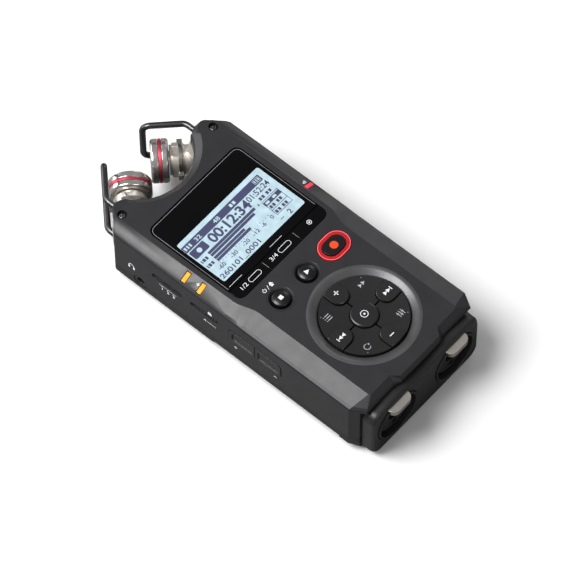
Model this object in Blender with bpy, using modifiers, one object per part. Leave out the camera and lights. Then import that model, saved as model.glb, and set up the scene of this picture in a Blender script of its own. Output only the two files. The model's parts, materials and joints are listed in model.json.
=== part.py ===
"""Handheld four-track digital recorder: a two-shell casing with two swivelling microphones and their
wire guards, a display window with three keys below it, a transport row, a round key pad, side switches
and keys, two combination input sockets, three AA cells under a hinged cover, and the boards inside.

The recorder lies on its back. +Z comes out of the display, +Y points at the microphones and +X is to
the right as the user reads the display. The origin is under the middle of its length and width."""

import math

import bmesh
import bpy
from mathutils import Matrix, Vector

MM = 0.001

# General fits
FIT_GAP = 0.3 * MM
KEY_REST_GAP = 0.8 * MM
OVERRUN = 6.0 * MM

# Casing
BODY_WIDTH = 70.0 * MM
BODY_LENGTH = 135.3 * MM
BODY_HEIGHT = 33.6 * MM
PARTING_HEIGHT = 8.6 * MM
SHELL_WALL = 2.2 * MM
PLATE_THICKNESS = 2.2 * MM
SHOULDER_DROP = 2.9 * MM
SHOULDER_ROUND = 1.2 * MM
SHOULDER_FULL_SHARE = 0.9
UPPER_PLATE_HALF = 28.7 * MM
LOWER_PLATE_HALF = 26.1 * MM
WAIST_LOW = 59.3 * MM
WAIST_HIGH = 70.3 * MM
END_SLOPE = 2.8 * MM
END_FACET_ALONG = 6.0 * MM
END_FACET_ACROSS = 3.6 * MM
PLATE_CORNER = 0.8 * MM
TAB_HALF = 11.6 * MM
TAB_FLARE = 2.8 * MM
TAB_REACH = 1.0 * MM
TAB_EDGE = 0.6 * MM
END_LIP_THICKNESS = 4.6 * MM
END_RECESS = 2.2 * MM
CAVITY_SIDE_HALF = 26.0 * MM
CAVITY_STEP_DROP = 6.0 * MM
CAVITY_END_HALF = 30.2 * MM
CAVITY_TOP_ALONG = 112.0 * MM

# Horns and the notch between them
NOTCH_RADIUS = 26.0 * MM
NOTCH_BEVEL = 3.6 * MM
NOTCH_CENTRE_ALONG = 146.2 * MM
NOTCH_END_ANGLE = math.radians(-28.4)
TIP_RADIUS = 2.9 * MM
TIP_X = 25.3 * MM
TIP_START_BEVEL = 3.0 * MM
TIP_BEVEL = 0.15 * MM
TIP_START_ANGLE = math.radians(150)
TIP_END_ANGLE = math.radians(50)
HORN_FACET_TOP = (29.2 * MM, 2.65 * MM)
HORN_FACET_FOOT = (34.6 * MM, 7.3 * MM)
HORN_FACET_END = 8.2 * MM
HORN_PLATE_CORNER_RADIUS = 0.8 * MM
HORN_PLATE_CORNER_SETBACK = 3.8 * MM
HORN_CORNER_ANGLE = math.radians(60)
HORN_SCREW_X = 27.2 * MM
HORN_SCREW_ALONG = 129.8 * MM
HORN_SCREW_RADIUS = 1.7 * MM
HORN_SCREW_HEAD_HEIGHT = 1.1 * MM
HORN_SCREW_FLAT_SHARE = 0.7
HORN_SCREW_SLOT_SHARE = 0.6
HORN_SCREW_SINK = 0.5 * MM
HORN_SCREW_SHANK_RADIUS = 0.9 * MM
HORN_SCREW_LENGTH = 5.0 * MM
SCREW_SLOT_WIDTH = 0.6 * MM

# Back of the casing
BACK_EDGE_ACROSS = 3.8 * MM
BACK_EDGE_UP = 4.4 * MM
BACK_EDGE_ROUND = 0.9 * MM
BACK_EDGE_ROUND_SHARE = 0.67
BACK_TAPER_ALONG = 77.5 * MM
BACK_TAPER_RISE = 2.6 * MM
SPEAKER_ALONG = 89.0 * MM
SPEAKER_BAY_HIGH = 100.0 * MM
SPEAKER_RADIUS = 9.0 * MM
SPEAKER_THICKNESS = 3.2 * MM
SPEAKER_MAGNET_SHARE = 0.55
SPEAKER_BASKET_SHARE = 0.5
SPEAKER_CONE_SHARES = ((0.85, 0.0), (0.3, 0.3), (0.0, 0.2))
SPEAKER_HOLE_RADIUS = 0.9 * MM
SPEAKER_HOLE_PITCH = 3.6 * MM
TRIPOD_ALONG = 108.5 * MM
TRIPOD_BORE_RADIUS = 2.7 * MM
TRIPOD_BUSH_RADIUS = 4.6 * MM
TRIPOD_BUSH_SIDES = 6
TRIPOD_BORE_STEPS = 20
TRIPOD_BUSH_LENGTH = 4.6 * MM
TRIPOD_DISH_RADIUS = 3.6 * MM

# Display window, the three keys under it and the display
WINDOW_HALF = 26.5 * MM
WINDOW_LOW = 74.4 * MM
WINDOW_HIGH = 117.0 * MM
WINDOW_CORNER = 3.2 * MM
WINDOW_THICKNESS = 1.4 * MM
WINDOW_SINK = 0.15 * MM
WINDOW_POCKET = 2.0 * MM
SCREEN_HALF = 24.6 * MM
SCREEN_LOW = 78.4 * MM
SCREEN_HIGH = 104.7 * MM
SCREEN_MODULE_BORDER = 1.6 * MM
SCREEN_MODULE_THICKNESS = 2.0 * MM
STRIP_LOW = 68.5 * MM
STRIP_SPLITS = (-8.2 * MM, 9.9 * MM)
STRIP_KEY_THICKNESS = 1.0 * MM
STRIP_KEY_STEM_HALF = 2.6 * MM
STRIP_KEY_STEM_ACROSS = 1.0 * MM
STRIP_SLOT_MARGIN = 2.6 * MM

# Transport row
BUTTON_ROW = 57.2 * MM
STOP_X = -15.6 * MM
PLAY_X = 0.0
RECORD_X = 16.2 * MM
BUTTON_RADIUS = 3.85 * MM
BUTTON_RISE = 0.9 * MM
BUTTON_DOME = 0.5 * MM
BUTTON_DOME_SHARES = ((0.5, 0.25), (0.85, 0.8), (1.0, 1.8))
BUTTON_STEPS = 28
BUTTON_DISH_RADIUS = 5.1 * MM
BUTTON_DISH_DEPTH = 1.1 * MM
BUTTON_TRAVEL = 0.6 * MM
BUTTON_FLANGE = 0.7 * MM
RECORD_LENGTH = 10.5 * MM
RECORD_WIDTH = 7.0 * MM
RECORD_RISE = 0.7 * MM
LIGHT_RING_WALL = 1.75 * MM
LIGHT_RING_RISE = 0.3 * MM
LIGHT_RING_DEPTH = 1.9 * MM

# Round key pad
PAD_ALONG = 27.8 * MM
PAD_RADIUS = 18.0 * MM
PAD_BASIN_RADIUS = 21.6 * MM
PAD_BASIN_DEPTH = 1.5 * MM
PAD_SINK = 0.1 * MM
ENTER_RADIUS = 5.7 * MM
ENTER_RISE = 0.8 * MM
ARROW_WIDTH = 8.2 * MM
ARROW_INNER = 9.1 * MM
ARROW_RISE = 0.7 * MM
PAD_GAP = 0.35 * MM
PAD_EDGE_BEVEL = 0.45 * MM
PAD_DISH = 0.5 * MM
PAD_DISH_TURN_SHARE = 0.5

# Key mat and main board
MAT_THICKNESS = 1.0 * MM
MAT_LOW = 6.0 * MM
MAT_HIGH = 75.8 * MM
MAT_HALF = 23.6 * MM
BOARD_THICKNESS = 1.6 * MM
BOARD_LOW = 18.6 * MM
BOARD_HIGH = 108.0 * MM
BOARD_HALF = 25.4 * MM
BOARD_CORNER = 2.0 * MM
INNER_DROP = 3.2 * MM

# Indicator lenses on the sloped bands
LENS_LENGTH = 4.4 * MM
LENS_WIDTH = 1.9 * MM
LENS_DEPTH = 2.4 * MM
LENS_RISE = 0.1 * MM
LEFT_LENS_ALONG = (92.2 * MM, 84.2 * MM)
RIGHT_LENS_ALONG = 83.4 * MM

# Side switches, keys and sockets
SWITCH_DROP = 12.2 * MM
SWITCH_POCKET_HEIGHT = 3.4 * MM
SWITCH_POCKET_DEPTH = 1.0 * MM
INPUT_SWITCH_ALONG = 99.5 * MM
INPUT_SWITCH_LENGTH = 16.4 * MM
HOLD_SWITCH_ALONG = 80.2 * MM
HOLD_SWITCH_LENGTH = 14.8 * MM
SWITCH_SLOT_HEIGHT = 2.0 * MM
SWITCH_KNOB_LENGTH = 6.2 * MM
SWITCH_KNOB_PROUD = 0.5 * MM
SWITCH_GROOVES = 4
SWITCH_GROOVE_START_SHARE = 0.75
SWITCH_FOOT_THICKNESS = 1.0 * MM
SWITCH_FOOT_HEIGHT = 4.2 * MM
SWITCH_FOOT_OVERLAP = 1.0 * MM
INPUT_SWITCH_STEP = 3.0 * MM
HOLD_SWITCH_TRAVEL = 5.0 * MM
LEVEL_KEYS_ALONG = 53.9 * MM
LEVEL_KEYS_LENGTH = 26.6 * MM
LEVEL_KEYS_HEIGHT = 7.6 * MM
LEVEL_KEYS_DROP = 13.4 * MM
LEVEL_KEY_PROUD = 0.2 * MM
LEVEL_KEY_DISH = 0.5 * MM
SIDE_KEY_FOOT = 0.8 * MM
SIDE_KEY_TRAVEL = 0.5 * MM
SIDE_KEY_CORNER_STEPS = 3
SIDE_KEY_CORNER = 1.4 * MM
VOLUME_KEYS_ALONG = 96.0 * MM
VOLUME_KEYS_LENGTH = 20.0 * MM
VOLUME_KEYS_HEIGHT = 5.6 * MM
PHONES_ALONG = 114.3 * MM
SOCKET_HEIGHT = 8.9 * MM
SOCKET_RADIUS = 3.0 * MM
SOCKET_BORE_RADIUS = 1.75 * MM
SOCKET_DEPTH = 11.0 * MM
SOCKET_SINK = 0.2 * MM
SOCKET_LIP_RADIUS = 2.4 * MM
SOCKET_LIP_DEPTH = 0.5 * MM
REMOTE_ALONG = 114.3 * MM
CARD_DOOR_ALONG = 66.0 * MM
CARD_DOOR_LENGTH = 17.0 * MM
CARD_DOOR_HEIGHT = 5.4 * MM
CARD_DOOR_THICKNESS = 1.2 * MM
CARD_SLOT_LENGTH = 12.4 * MM
CARD_SLOT_HEIGHT = 2.0 * MM
CARD_DOOR_DROP = 14.0 * MM
USB_ALONG = 38.0 * MM
USB_LENGTH = 9.0 * MM
USB_HEIGHT = 3.3 * MM
USB_WALL = 0.35 * MM
USB_DEPTH = 7.0 * MM
USB_TONGUE = 0.7 * MM
USB_TONGUE_LENGTH = 5.0 * MM

# Input end
PANEL_PROUD = 4.0 * MM
PANEL_HALF = 31.7 * MM
PANEL_TOP_DROP = 5.2 * MM
PANEL_WAVE = 1.5 * MM
PANEL_BOTTOM = 0.4 * MM
PANEL_CORNER = 4.4 * MM
PANEL_EDGE_SLOPE = 1.9 * MM
PANEL_EDGE_TURN = (0.6, 0.3)
PANEL_LOWER_EDGE = 0.6 * MM
PANEL_EDGE_DEPTH = 1.5 * MM
COMBO_X = 17.2 * MM
COMBO_DROP = 19.3 * MM
COMBO_RADIUS = 11.4 * MM
COMBO_PROUD = 0.6 * MM
COMBO_MOUTH_RADIUS = 10.3 * MM
COMBO_CORE_RADIUS = 8.7 * MM
COMBO_CORE_SINK = 1.6 * MM
COMBO_GROOVE_DEPTH = 8.0 * MM
COMBO_JACK_RADIUS = 3.3 * MM
COMBO_JACK_DEPTH = 15.0 * MM
COMBO_PIN_RADIUS = 1.35 * MM
COMBO_PIN_CIRCLE = 5.9 * MM
COMBO_PIN_DEPTH = 7.0 * MM
COMBO_FRONT_LENGTH = 12.6 * MM
COMBO_REAR_RADIUS = 6.4 * MM
COMBO_REAR_LENGTH = 6.4 * MM
COMBO_REAR_WALL = 1.6 * MM
LATCH_WIDTH = 11.6 * MM
LATCH_HEIGHT = 2.6 * MM
LATCH_REACH = 3.4 * MM
LATCH_CORNER_SHARE = 0.9
LATCH_CORNER_STEPS = 5
LATCH_INSIDE = 4.0 * MM
LATCH_TRAVEL = 1.5 * MM
LATCH_ROUND = 1.1 * MM

# Microphones, seen along their own axis from the swivel outwards
MIC_PIVOT_X = 22.75 * MM
MIC_PIVOT_ALONG = 128.9 * MM
MIC_AXIS_DROP = 17.0 * MM
MIC_REST_ANGLE = math.radians(45)
DRUM_RADIUS = 8.0 * MM
DRUM_HALF_HEIGHT = 7.4 * MM
PIN_RADIUS = 1.5 * MM
PIN_DEPTH = 3.0 * MM
SLOT_RADIUS = 9.7 * MM
SLOT_MOUTH_ALONG = 129.6 * MM
SLOT_TOP_DROP = 9.3 * MM
BASE_RADIUS = 6.0 * MM
BASE_END = 9.4 * MM
NECK_RADIUS = 7.0 * MM
NECK_END = 15.6 * MM
NECK_WAIST_RADIUS = 6.2 * MM
NECK_GROOVE = 1.1 * MM
NECK_FLAT = 5.6 * MM
NECK_WINDOW_WIDTH = 3.4 * MM
NECK_WINDOW_DEPTH = 1.4 * MM
HEAD_RADIUS = 9.0 * MM
HEAD_START = 15.9 * MM
HEAD_LENGTH = 7.3 * MM
HEAD_EDGE = 0.7 * MM
HEAD_CUP_DEPTH = 4.4 * MM
HEAD_CUP_RADIUS = 7.6 * MM
RED_RING_WIDTH = 1.2 * MM
RED_RING_DEPTH = 0.7 * MM
RED_RING_POSITION = 3.5 * MM
GRILLE_THICKNESS = 2.6 * MM
GRILLE_SINK = 0.9 * MM
GRILLE_DOME = 0.7 * MM
GRILLE_DOME_SHARES = ((0.5, 0.8), (0.85, 0.3))

# Wire guards
GUARD_REACH = 20.1 * MM
GUARD_WIRE_RADIUS = 1.35 * MM
GUARD_X = 23.8 * MM
GUARD_TIP_X = 11.5 * MM
GUARD_HALF_SPACING = 11.0 * MM
GUARD_ROOT_DEPTH = 4.2 * MM
GUARD_BEND_RADIUS = 4.2 * MM
GUARD_CORNER_RADIUS = 3.2 * MM

# Battery bay
COVER_LOW = 10.9 * MM
COVER_HIGH = 75.5 * MM
COVER_INSET = 0.8 * MM
COVER_HEIGHT = 5.0 * MM
COVER_WALL = 1.6 * MM
COVER_GRIP_PITCH = 1.9 * MM
COVER_GRIP_DEPTH = 0.4 * MM
COVER_GRIP_WIDTH = 0.9 * MM
COVER_GRIP_LENGTH = 22.0 * MM
COVER_GRIP_FROM_END = 12.0 * MM
COVER_GRIP_COUNT = 5
BAY_WEB_THICKNESS = 1.8 * MM
CELL_RADIUS = 7.1 * MM
CELL_LENGTH = 49.2 * MM
CELL_BUTTON_RADIUS = 2.7 * MM
CELL_BUTTON_LENGTH = 1.2 * MM
CELL_PITCH = 14.9 * MM
CELL_LOW = 20.6 * MM
CELL_HEIGHT = 10.2 * MM
CELL_EDGE = 0.5 * MM
BAY_WALL = 1.2 * MM
BAY_SIDE_GAP = 0.5 * MM
CONTACT_THICKNESS = 0.4 * MM
CONTACT_HEIGHT_SHARE = 0.7
CONTACT_SPRING_LENGTH = 2.0 * MM
CONTACT_SPRING_RADIUS = 3.0 * MM
CONTACT_TIP_RADIUS = 1.6 * MM

# Drawing steps
NOTCH_STEPS = 10
TIP_STEPS = 5
CORNER_STEPS = 4
WAIST_STEPS = 6
ROUND_STEPS = 40
SMALL_ROUND_STEPS = 20
ARC_STEPS = 5

# Worked out from the sizes above
JACK_REACH = PANEL_PROUD + LATCH_REACH
TOTAL_LENGTH = JACK_REACH + BODY_LENGTH + GUARD_REACH
END_Y = JACK_REACH - TOTAL_LENGTH / 2
HALF_WIDTH = BODY_WIDTH / 2
PLATE_Z = BODY_HEIGHT
SHOULDER_Z = BODY_HEIGHT - SHOULDER_DROP
HORN_END = END_Y + BODY_LENGTH
TIP_Y = HORN_END - TIP_RADIUS
RECESS_Y = END_Y + END_RECESS
PANEL_FACE_Y = END_Y - PANEL_PROUD
MIC_Z = BODY_HEIGHT - MIC_AXIS_DROP
INNER_TOP = PLATE_Z - PLATE_THICKNESS
KEY_BOTTOM = INNER_TOP - BUTTON_FLANGE - FIT_GAP
MAT_TOP = KEY_BOTTOM - KEY_REST_GAP
BOARD_TOP = MAT_TOP - MAT_THICKNESS - FIT_GAP


def along(distance):
    """The Y of a place given by its distance from the input end's lip."""
    return END_Y + distance


def mix(first, second, share):
    return first + (second - first) * share


def mix_points(first, second, share):
    return tuple(mix(a, b, share) for a, b in zip(first, second))


def smooth_share(share):
    return share * share * (3 - 2 * share)


# Scene and materials


def clear_scene():
    for item in list(bpy.data.objects):
        bpy.data.objects.remove(item, do_unlink=True)


def new_collection(name):
    group = bpy.data.collections.new(name)
    bpy.context.scene.collection.children.link(group)
    return group


clear_scene()
PARTS = new_collection("handheld_recorder")
CUTTERS = new_collection("cutters")


def material(name, colour, roughness, metallic=0.0):
    made = bpy.data.materials.get(name)
    if made is None:
        made = bpy.data.materials.new(name)
        made.use_nodes = True
        shader = made.node_tree.nodes["Principled BSDF"]
        shader.inputs["Base Color"].default_value = (*colour, 1.0)
        shader.inputs["Roughness"].default_value = roughness
        shader.inputs["Metallic"].default_value = metallic
    return made


SHELL_BLACK = material("shell_dark_grey", (0.055, 0.055, 0.062), 0.45)
SIDE_BLACK = material("panel_black", (0.022, 0.022, 0.024), 0.5)
KEY_BLACK = material("key_black", (0.02, 0.02, 0.022), 0.35)
WINDOW_BLACK = material("window_black", (0.006, 0.006, 0.007), 0.08)
SCREEN_BLUE = material("screen_pale_blue", (0.52, 0.72, 0.77), 0.3)
RECORD_RED = material("record_ring_red", (0.75, 0.03, 0.03), 0.3)
LENS_ORANGE = material("lens_orange", (0.9, 0.4, 0.02), 0.3)
LENS_RED = material("lens_red", (0.85, 0.06, 0.08), 0.3)
NICKEL = material("satin_nickel", (0.62, 0.58, 0.52), 0.28, 1.0)
CHROME = material("dark_chrome", (0.5, 0.5, 0.48), 0.12, 1.0)
RING_RED = material("anodised_red", (0.7, 0.06, 0.1), 0.3, 0.4)
WIRE_GREY = material("guard_wire_grey", (0.12, 0.12, 0.125), 0.3, 1.0)
SCREW_BLACK = material("screw_black", (0.05, 0.05, 0.05), 0.3, 0.9)
MAT_GREY = material("key_mat_grey", (0.12, 0.12, 0.12), 0.8)
BOARD_GREEN = material("board_green", (0.02, 0.12, 0.05), 0.5)
BRASS = material("bush_brass", (0.7, 0.5, 0.2), 0.3, 1.0)
CELL_GREY = material("cell_sleeve", (0.18, 0.18, 0.19), 0.35)
SPRING_STEEL = material("spring_steel", (0.6, 0.6, 0.58), 0.25, 1.0)
GRILLE_GREY = material("grille_grey", (0.25, 0.25, 0.25), 0.4, 0.8)


# Modelling helpers


def keep(name, mesh, finish, group=None):
    """Puts a mesh in the scene as a named piece, or as a cutter when a group is given."""
    piece = bpy.data.objects.new(name, mesh)
    (group or PARTS).objects.link(piece)
    if finish:
        mesh.materials.clear()
        mesh.materials.append(finish)
    return piece


def as_cutter(piece):
    for group in list(piece.users_collection):
        group.objects.unlink(piece)
    CUTTERS.objects.link(piece)
    piece.hide_render = True
    piece.display_type = "WIRE"
    return piece


def with_boolean(piece, tool, operation):
    as_cutter(tool)
    modifier = piece.modifiers.new(tool.name, "BOOLEAN")
    modifier.operation = operation
    modifier.solver = "EXACT"
    modifier.object = tool
    return piece


def cut(piece, *tools):
    for tool in tools:
        with_boolean(piece, tool, "DIFFERENCE")
    return piece


def join(piece, *tools):
    for tool in tools:
        with_boolean(piece, tool, "UNION")
    return piece


def round_edges(piece, width, segments=2, angle=40):
    modifier = piece.modifiers.new("edges", "BEVEL")
    modifier.width = width
    modifier.segments = segments
    modifier.limit_method = "ANGLE"
    modifier.angle_limit = math.radians(angle)
    return piece


def shade_round(piece, angle=35):
    piece.data.shade_smooth()
    piece.data.set_sharp_from_angle(angle=math.radians(angle))
    return piece


def settle(piece, turn):
    """Places and turns a piece."""
    piece.matrix_world = turn @ piece.matrix_world
    return piece


def settle_with_tools(piece, turn):
    """Places and turns a piece together with the cutters and additions it is made with."""
    settle(piece, turn)
    for modifier in piece.modifiers:
        if modifier.type == "BOOLEAN":
            settle(modifier.object, turn)
    return piece


def put_origin(piece, place):
    """Moves a piece's origin to a point on the line it slides along or swings about."""
    place = Vector(place)
    piece.data.transform(Matrix.Translation(-place))
    piece.location = place
    return piece


def box(name, low, high, finish=None):
    """A block between two opposite corners."""
    shape = bmesh.new()
    bmesh.ops.create_cube(shape, size=1)
    low, high = Vector(low), Vector(high)
    size = high - low
    bmesh.ops.scale(shape, vec=size, verts=shape.verts)
    bmesh.ops.translate(shape, vec=(low + high) / 2, verts=shape.verts)
    mesh = bpy.data.meshes.new(name)
    shape.to_mesh(mesh)
    shape.free()
    return keep(name, mesh, finish)


def rod(name, radius, low, high, centre=(0, 0), steps=SMALL_ROUND_STEPS, finish=None, top_radius=None):
    """An upright cylinder or cone between two heights."""
    shape = bmesh.new()
    bmesh.ops.create_cone(
        shape,
        cap_ends=True,
        segments=steps,
        radius1=radius,
        radius2=radius if top_radius is None else top_radius,
        depth=high - low,
    )
    bmesh.ops.translate(shape, vec=(centre[0], centre[1], (low + high) / 2), verts=shape.verts)
    mesh = bpy.data.meshes.new(name)
    shape.to_mesh(mesh)
    shape.free()
    return keep(name, mesh, finish)


def flat(name, outlines, low, high, finish=None):
    """A flat piece from one outline or more, the later ones holes, between two heights."""
    curve = bpy.data.curves.new(name, "CURVE")
    curve.dimensions = "2D"
    curve.fill_mode = "BOTH"
    curve.extrude = (high - low) / 2
    for outline in outlines:
        spline = curve.splines.new("POLY")
        spline.points.add(len(outline) - 1)
        for point, (x, y) in zip(spline.points, outline):
            point.co = (x, y, 0, 1)
        spline.use_cyclic_u = True
    drawn = bpy.data.objects.new(name + "_outline", curve)
    PARTS.objects.link(drawn)
    bpy.context.view_layer.update()
    graph = bpy.context.evaluated_depsgraph_get()
    mesh = bpy.data.meshes.new_from_object(drawn.evaluated_get(graph))
    bpy.data.objects.remove(drawn, do_unlink=True)
    shape = bmesh.new()
    shape.from_mesh(mesh)
    bmesh.ops.remove_doubles(shape, verts=shape.verts, dist=MM / 1000)
    bmesh.ops.recalc_face_normals(shape, faces=shape.faces)
    bmesh.ops.translate(shape, vec=(0, 0, (low + high) / 2), verts=shape.verts)
    shape.to_mesh(mesh)
    shape.free()
    return keep(name, mesh, finish)


def loft(name, sections, finish=None):
    """A closed body drawn through sections with equal point counts."""
    shape = bmesh.new()
    rings = [[shape.verts.new(point) for point in section] for section in sections]
    count = len(rings[0])
    for ring, following in zip(rings, rings[1:]):
        for index in range(count):
            after = (index + 1) % count
            shape.faces.new((ring[index], ring[after], following[after], following[index]))
    shape.faces.new(rings[0])
    shape.faces.new(rings[-1])
    bmesh.ops.recalc_face_normals(shape, faces=shape.faces)
    mesh = bpy.data.meshes.new(name)
    shape.to_mesh(mesh)
    shape.free()
    return keep(name, mesh, finish)


def turned(name, profile, steps=ROUND_STEPS, finish=None):
    """A turned piece: the profile's (radius, height) points run down its outer side, about Z."""
    shape = bmesh.new()
    points = [shape.verts.new((radius, 0, height)) for radius, height in profile]
    for first, second in zip(points, points[1:]):
        shape.edges.new((first, second))
    if profile[0][0] > 0:
        shape.edges.new((points[-1], points[0]))
    mesh = bpy.data.meshes.new(name)
    shape.to_mesh(mesh)
    shape.free()
    piece = keep(name, mesh, finish)
    screw = piece.modifiers.new("turning", "SCREW")
    screw.steps = steps
    screw.render_steps = steps
    screw.use_merge_vertices = True
    screw.merge_threshold = MM / 1000
    bpy.context.view_layer.update()
    graph = bpy.context.evaluated_depsgraph_get()
    made = bpy.data.meshes.new_from_object(piece.evaluated_get(graph))
    shape = bmesh.new()
    shape.from_mesh(made)
    bmesh.ops.remove_doubles(shape, verts=shape.verts, dist=MM / 1000)
    bmesh.ops.recalc_face_normals(shape, faces=shape.faces)
    shape.to_mesh(made)
    shape.free()
    piece.modifiers.clear()
    piece.data = made
    if finish:
        made.materials.clear()
        made.materials.append(finish)
    return piece


def wire(name, points, radius, finish):
    """A bent wire through the points, with filled ends."""
    curve = bpy.data.curves.new(name, "CURVE")
    curve.dimensions = "3D"
    curve.bevel_depth = radius
    curve.bevel_resolution = 2
    curve.use_fill_caps = True
    spline = curve.splines.new("POLY")
    spline.points.add(len(points) - 1)
    for point, place in zip(spline.points, points):
        point.co = (*place, 1)
    piece = bpy.data.objects.new(name, curve)
    PARTS.objects.link(piece)
    curve.materials.append(finish)
    return piece


def arc(centre, radius, start, end, steps):
    """Points on an arc, ends included."""
    return [
        (
            centre[0] + radius * math.cos(mix(start, end, step / steps)),
            centre[1] + radius * math.sin(mix(start, end, step / steps)),
        )
        for step in range(steps + 1)
    ]


def rounded_rectangle(low, high, radius, steps=ARC_STEPS, corners=(True, True, True, True)):
    """The outline of a rectangle, anticlockwise from its lower right corner, with chosen corners round."""
    quarter = math.pi / 2
    spots = (
        (high[0], low[1], -1, 1),
        (high[0], high[1], -1, -1),
        (low[0], high[1], 1, -1),
        (low[0], low[1], 1, 1),
    )
    outline = []
    for index, (x, y, toward_x, toward_y) in enumerate(spots):
        if corners[index]:
            centre = (x + toward_x * radius, y + toward_y * radius)
            outline += arc(centre, radius, (index - 1) * quarter, index * quarter, steps)
        else:
            outline.append((x, y))
    return outline


def stadium(centre, length, width, steps=8):
    """The outline of a slot with round ends, long along X."""
    reach = (length - width) / 2
    right = arc((centre[0] + reach, centre[1]), width / 2, -math.pi / 2, math.pi / 2, steps)
    left = arc((centre[0] - reach, centre[1]), width / 2, math.pi / 2, 3 * math.pi / 2, steps)
    return right + left


def circle(centre, radius, steps=ROUND_STEPS):
    return arc(centre, radius, 0, 2 * math.pi, steps)[:-1]


def filleted(points, radii, steps=5):
    """A path whose inner corners are rounded, each to its own radius."""
    points = [Vector(point) for point in points]
    path = [points[0]]
    for index in range(1, len(points) - 1):
        corner = points[index]
        before = (points[index - 1] - corner).normalized()
        after = (points[index + 1] - corner).normalized()
        half = before.angle(after) / 2
        radius = radii[index - 1]
        reach = radius / math.tan(half)
        middle = (before + after).normalized()
        centre = corner + middle * (radius / math.sin(half))
        start = corner + before * reach - centre
        end = corner + after * reach - centre
        swing = start.angle(end)
        for step in range(steps + 1):
            share = step / steps
            first = math.sin((1 - share) * swing) / math.sin(swing)
            second = math.sin(share * swing) / math.sin(swing)
            path.append(centre + start * first + end * second)
    path.append(points[-1])
    return path


def mirrored(half):
    """Both halves of an outline whose right half runs from the centre line round to the centre line."""
    left = [(-x, y) for x, y in reversed(half) if x > MM / 1000]
    return half + left


LYING_TO_LEFT_WALL = Matrix(((0, 0, -1, 0), (-1, 0, 0, 0), (0, 1, 0, 0), (0, 0, 0, 1)))
LYING_TO_RIGHT_WALL = Matrix(((0, 0, 1, 0), (1, 0, 0, 0), (0, 1, 0, 0), (0, 0, 0, 1)))
LYING_TO_INPUT_END = Matrix(((1, 0, 0, 0), (0, 0, -1, 0), (0, 1, 0, 0), (0, 0, 0, 1)))


# Casing outlines


def casing_half(level, inset=0.0):
    """Right half of the casing seen from the front. Level 0 is its widest line and level 1 the edge of
    the flat plate; inset draws the widest line in."""
    half = []
    notch = (0, along(NOTCH_CENTRE_ALONG))
    radius = NOTCH_RADIUS - NOTCH_BEVEL * (1 - level) + inset
    half += arc(notch, radius, -math.pi / 2, NOTCH_END_ANGLE, NOTCH_STEPS)
    for step in range(TIP_STEPS + 1):
        share = step / TIP_STEPS
        angle = mix(TIP_START_ANGLE, TIP_END_ANGLE, share)
        radius = TIP_RADIUS + mix(TIP_START_BEVEL, TIP_BEVEL, share) * (1 - level) - inset
        half.append((TIP_X + radius * math.cos(angle), TIP_Y + radius * math.sin(angle)))
    facet_top = (HORN_FACET_TOP[0] - inset, HORN_END - HORN_FACET_TOP[1] - inset)
    facet_foot = (HORN_FACET_FOOT[0] - inset, HORN_END - HORN_FACET_FOOT[1] - inset)
    outer = [mix_points(facet_top, facet_foot, step / (CORNER_STEPS - 1)) for step in range(CORNER_STEPS)]
    outer.append((HALF_WIDTH - inset, HORN_END - HORN_FACET_END - inset))
    plate_centre = (UPPER_PLATE_HALF, HORN_END - HORN_PLATE_CORNER_SETBACK)
    plate = arc(plate_centre, HORN_PLATE_CORNER_RADIUS, HORN_CORNER_ANGLE, 0, CORNER_STEPS)
    half += [mix_points(a, b, level) for a, b in zip(outer, plate)]
    for step in range(WAIST_STEPS + 1):
        share = step / WAIST_STEPS
        edge = mix(UPPER_PLATE_HALF, LOWER_PLATE_HALF, smooth_share(share))
        height = mix(along(WAIST_HIGH), along(WAIST_LOW), share)
        half.append((mix(HALF_WIDTH - inset, edge, level), height))
    plate_end = END_Y + END_SLOPE
    outer_end = END_Y + inset
    half.append(
        mix_points(
            (HALF_WIDTH - inset, END_Y + END_FACET_ALONG),
            (LOWER_PLATE_HALF, plate_end + PLATE_CORNER),
            level,
        )
    )
    half.append(
        mix_points(
            (HALF_WIDTH - END_FACET_ACROSS, outer_end),
            (LOWER_PLATE_HALF - PLATE_CORNER, plate_end),
            level,
        )
    )
    half.append((TAB_HALF + TAB_FLARE, mix(outer_end, plate_end, level)))
    half.append((TAB_HALF, mix(outer_end - TAB_REACH, END_Y - TAB_REACH + TAB_EDGE, level)))
    half.append((0.0, mix(outer_end - TAB_REACH, END_Y - TAB_REACH + TAB_EDGE, level)))
    return half


def casing_section(level, height, inset=0.0):
    return [(x, y, height) for x, y in mirrored(casing_half(level, inset))]


def round_cutter(name, radius, low, high, centre, steps=SMALL_ROUND_STEPS):
    return rod(name, radius, low, high, centre, steps)


def combo_centre(side):
    return (side * COMBO_X, BODY_HEIGHT - COMBO_DROP)


def pivot(side):
    return (side * MIC_PIVOT_X, along(MIC_PIVOT_ALONG))


# Cutters that both shells share


def input_end_recess(name):
    """The step that the jack panel stands in, under the front shell's lip."""
    return box(
        name,
        (-HALF_WIDTH - OVERRUN, END_Y - TAB_REACH - OVERRUN, -OVERRUN),
        (HALF_WIDTH + OVERRUN, RECESS_Y, PLATE_Z - END_LIP_THICKNESS),
    )


def side_socket_hole(name, side, distance):
    hole = round_cutter(name, SOCKET_RADIUS + FIT_GAP, -OVERRUN, SOCKET_DEPTH + FIT_GAP, (0, 0))
    turn = LYING_TO_RIGHT_WALL if side < 0 else LYING_TO_LEFT_WALL
    place = Matrix.Translation((side * HALF_WIDTH, along(distance), SOCKET_HEIGHT))
    return settle(hole, place @ turn)


def guard_hole(name, side, level):
    hole = round_cutter(name, GUARD_WIRE_RADIUS + FIT_GAP, -GUARD_ROOT_DEPTH - FIT_GAP, OVERRUN, (0, 0))
    place = Matrix.Translation((side * GUARD_X, HORN_END, level))
    return settle(hole, place @ Matrix.Rotation(-math.pi / 2, 4, "X"))


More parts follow.
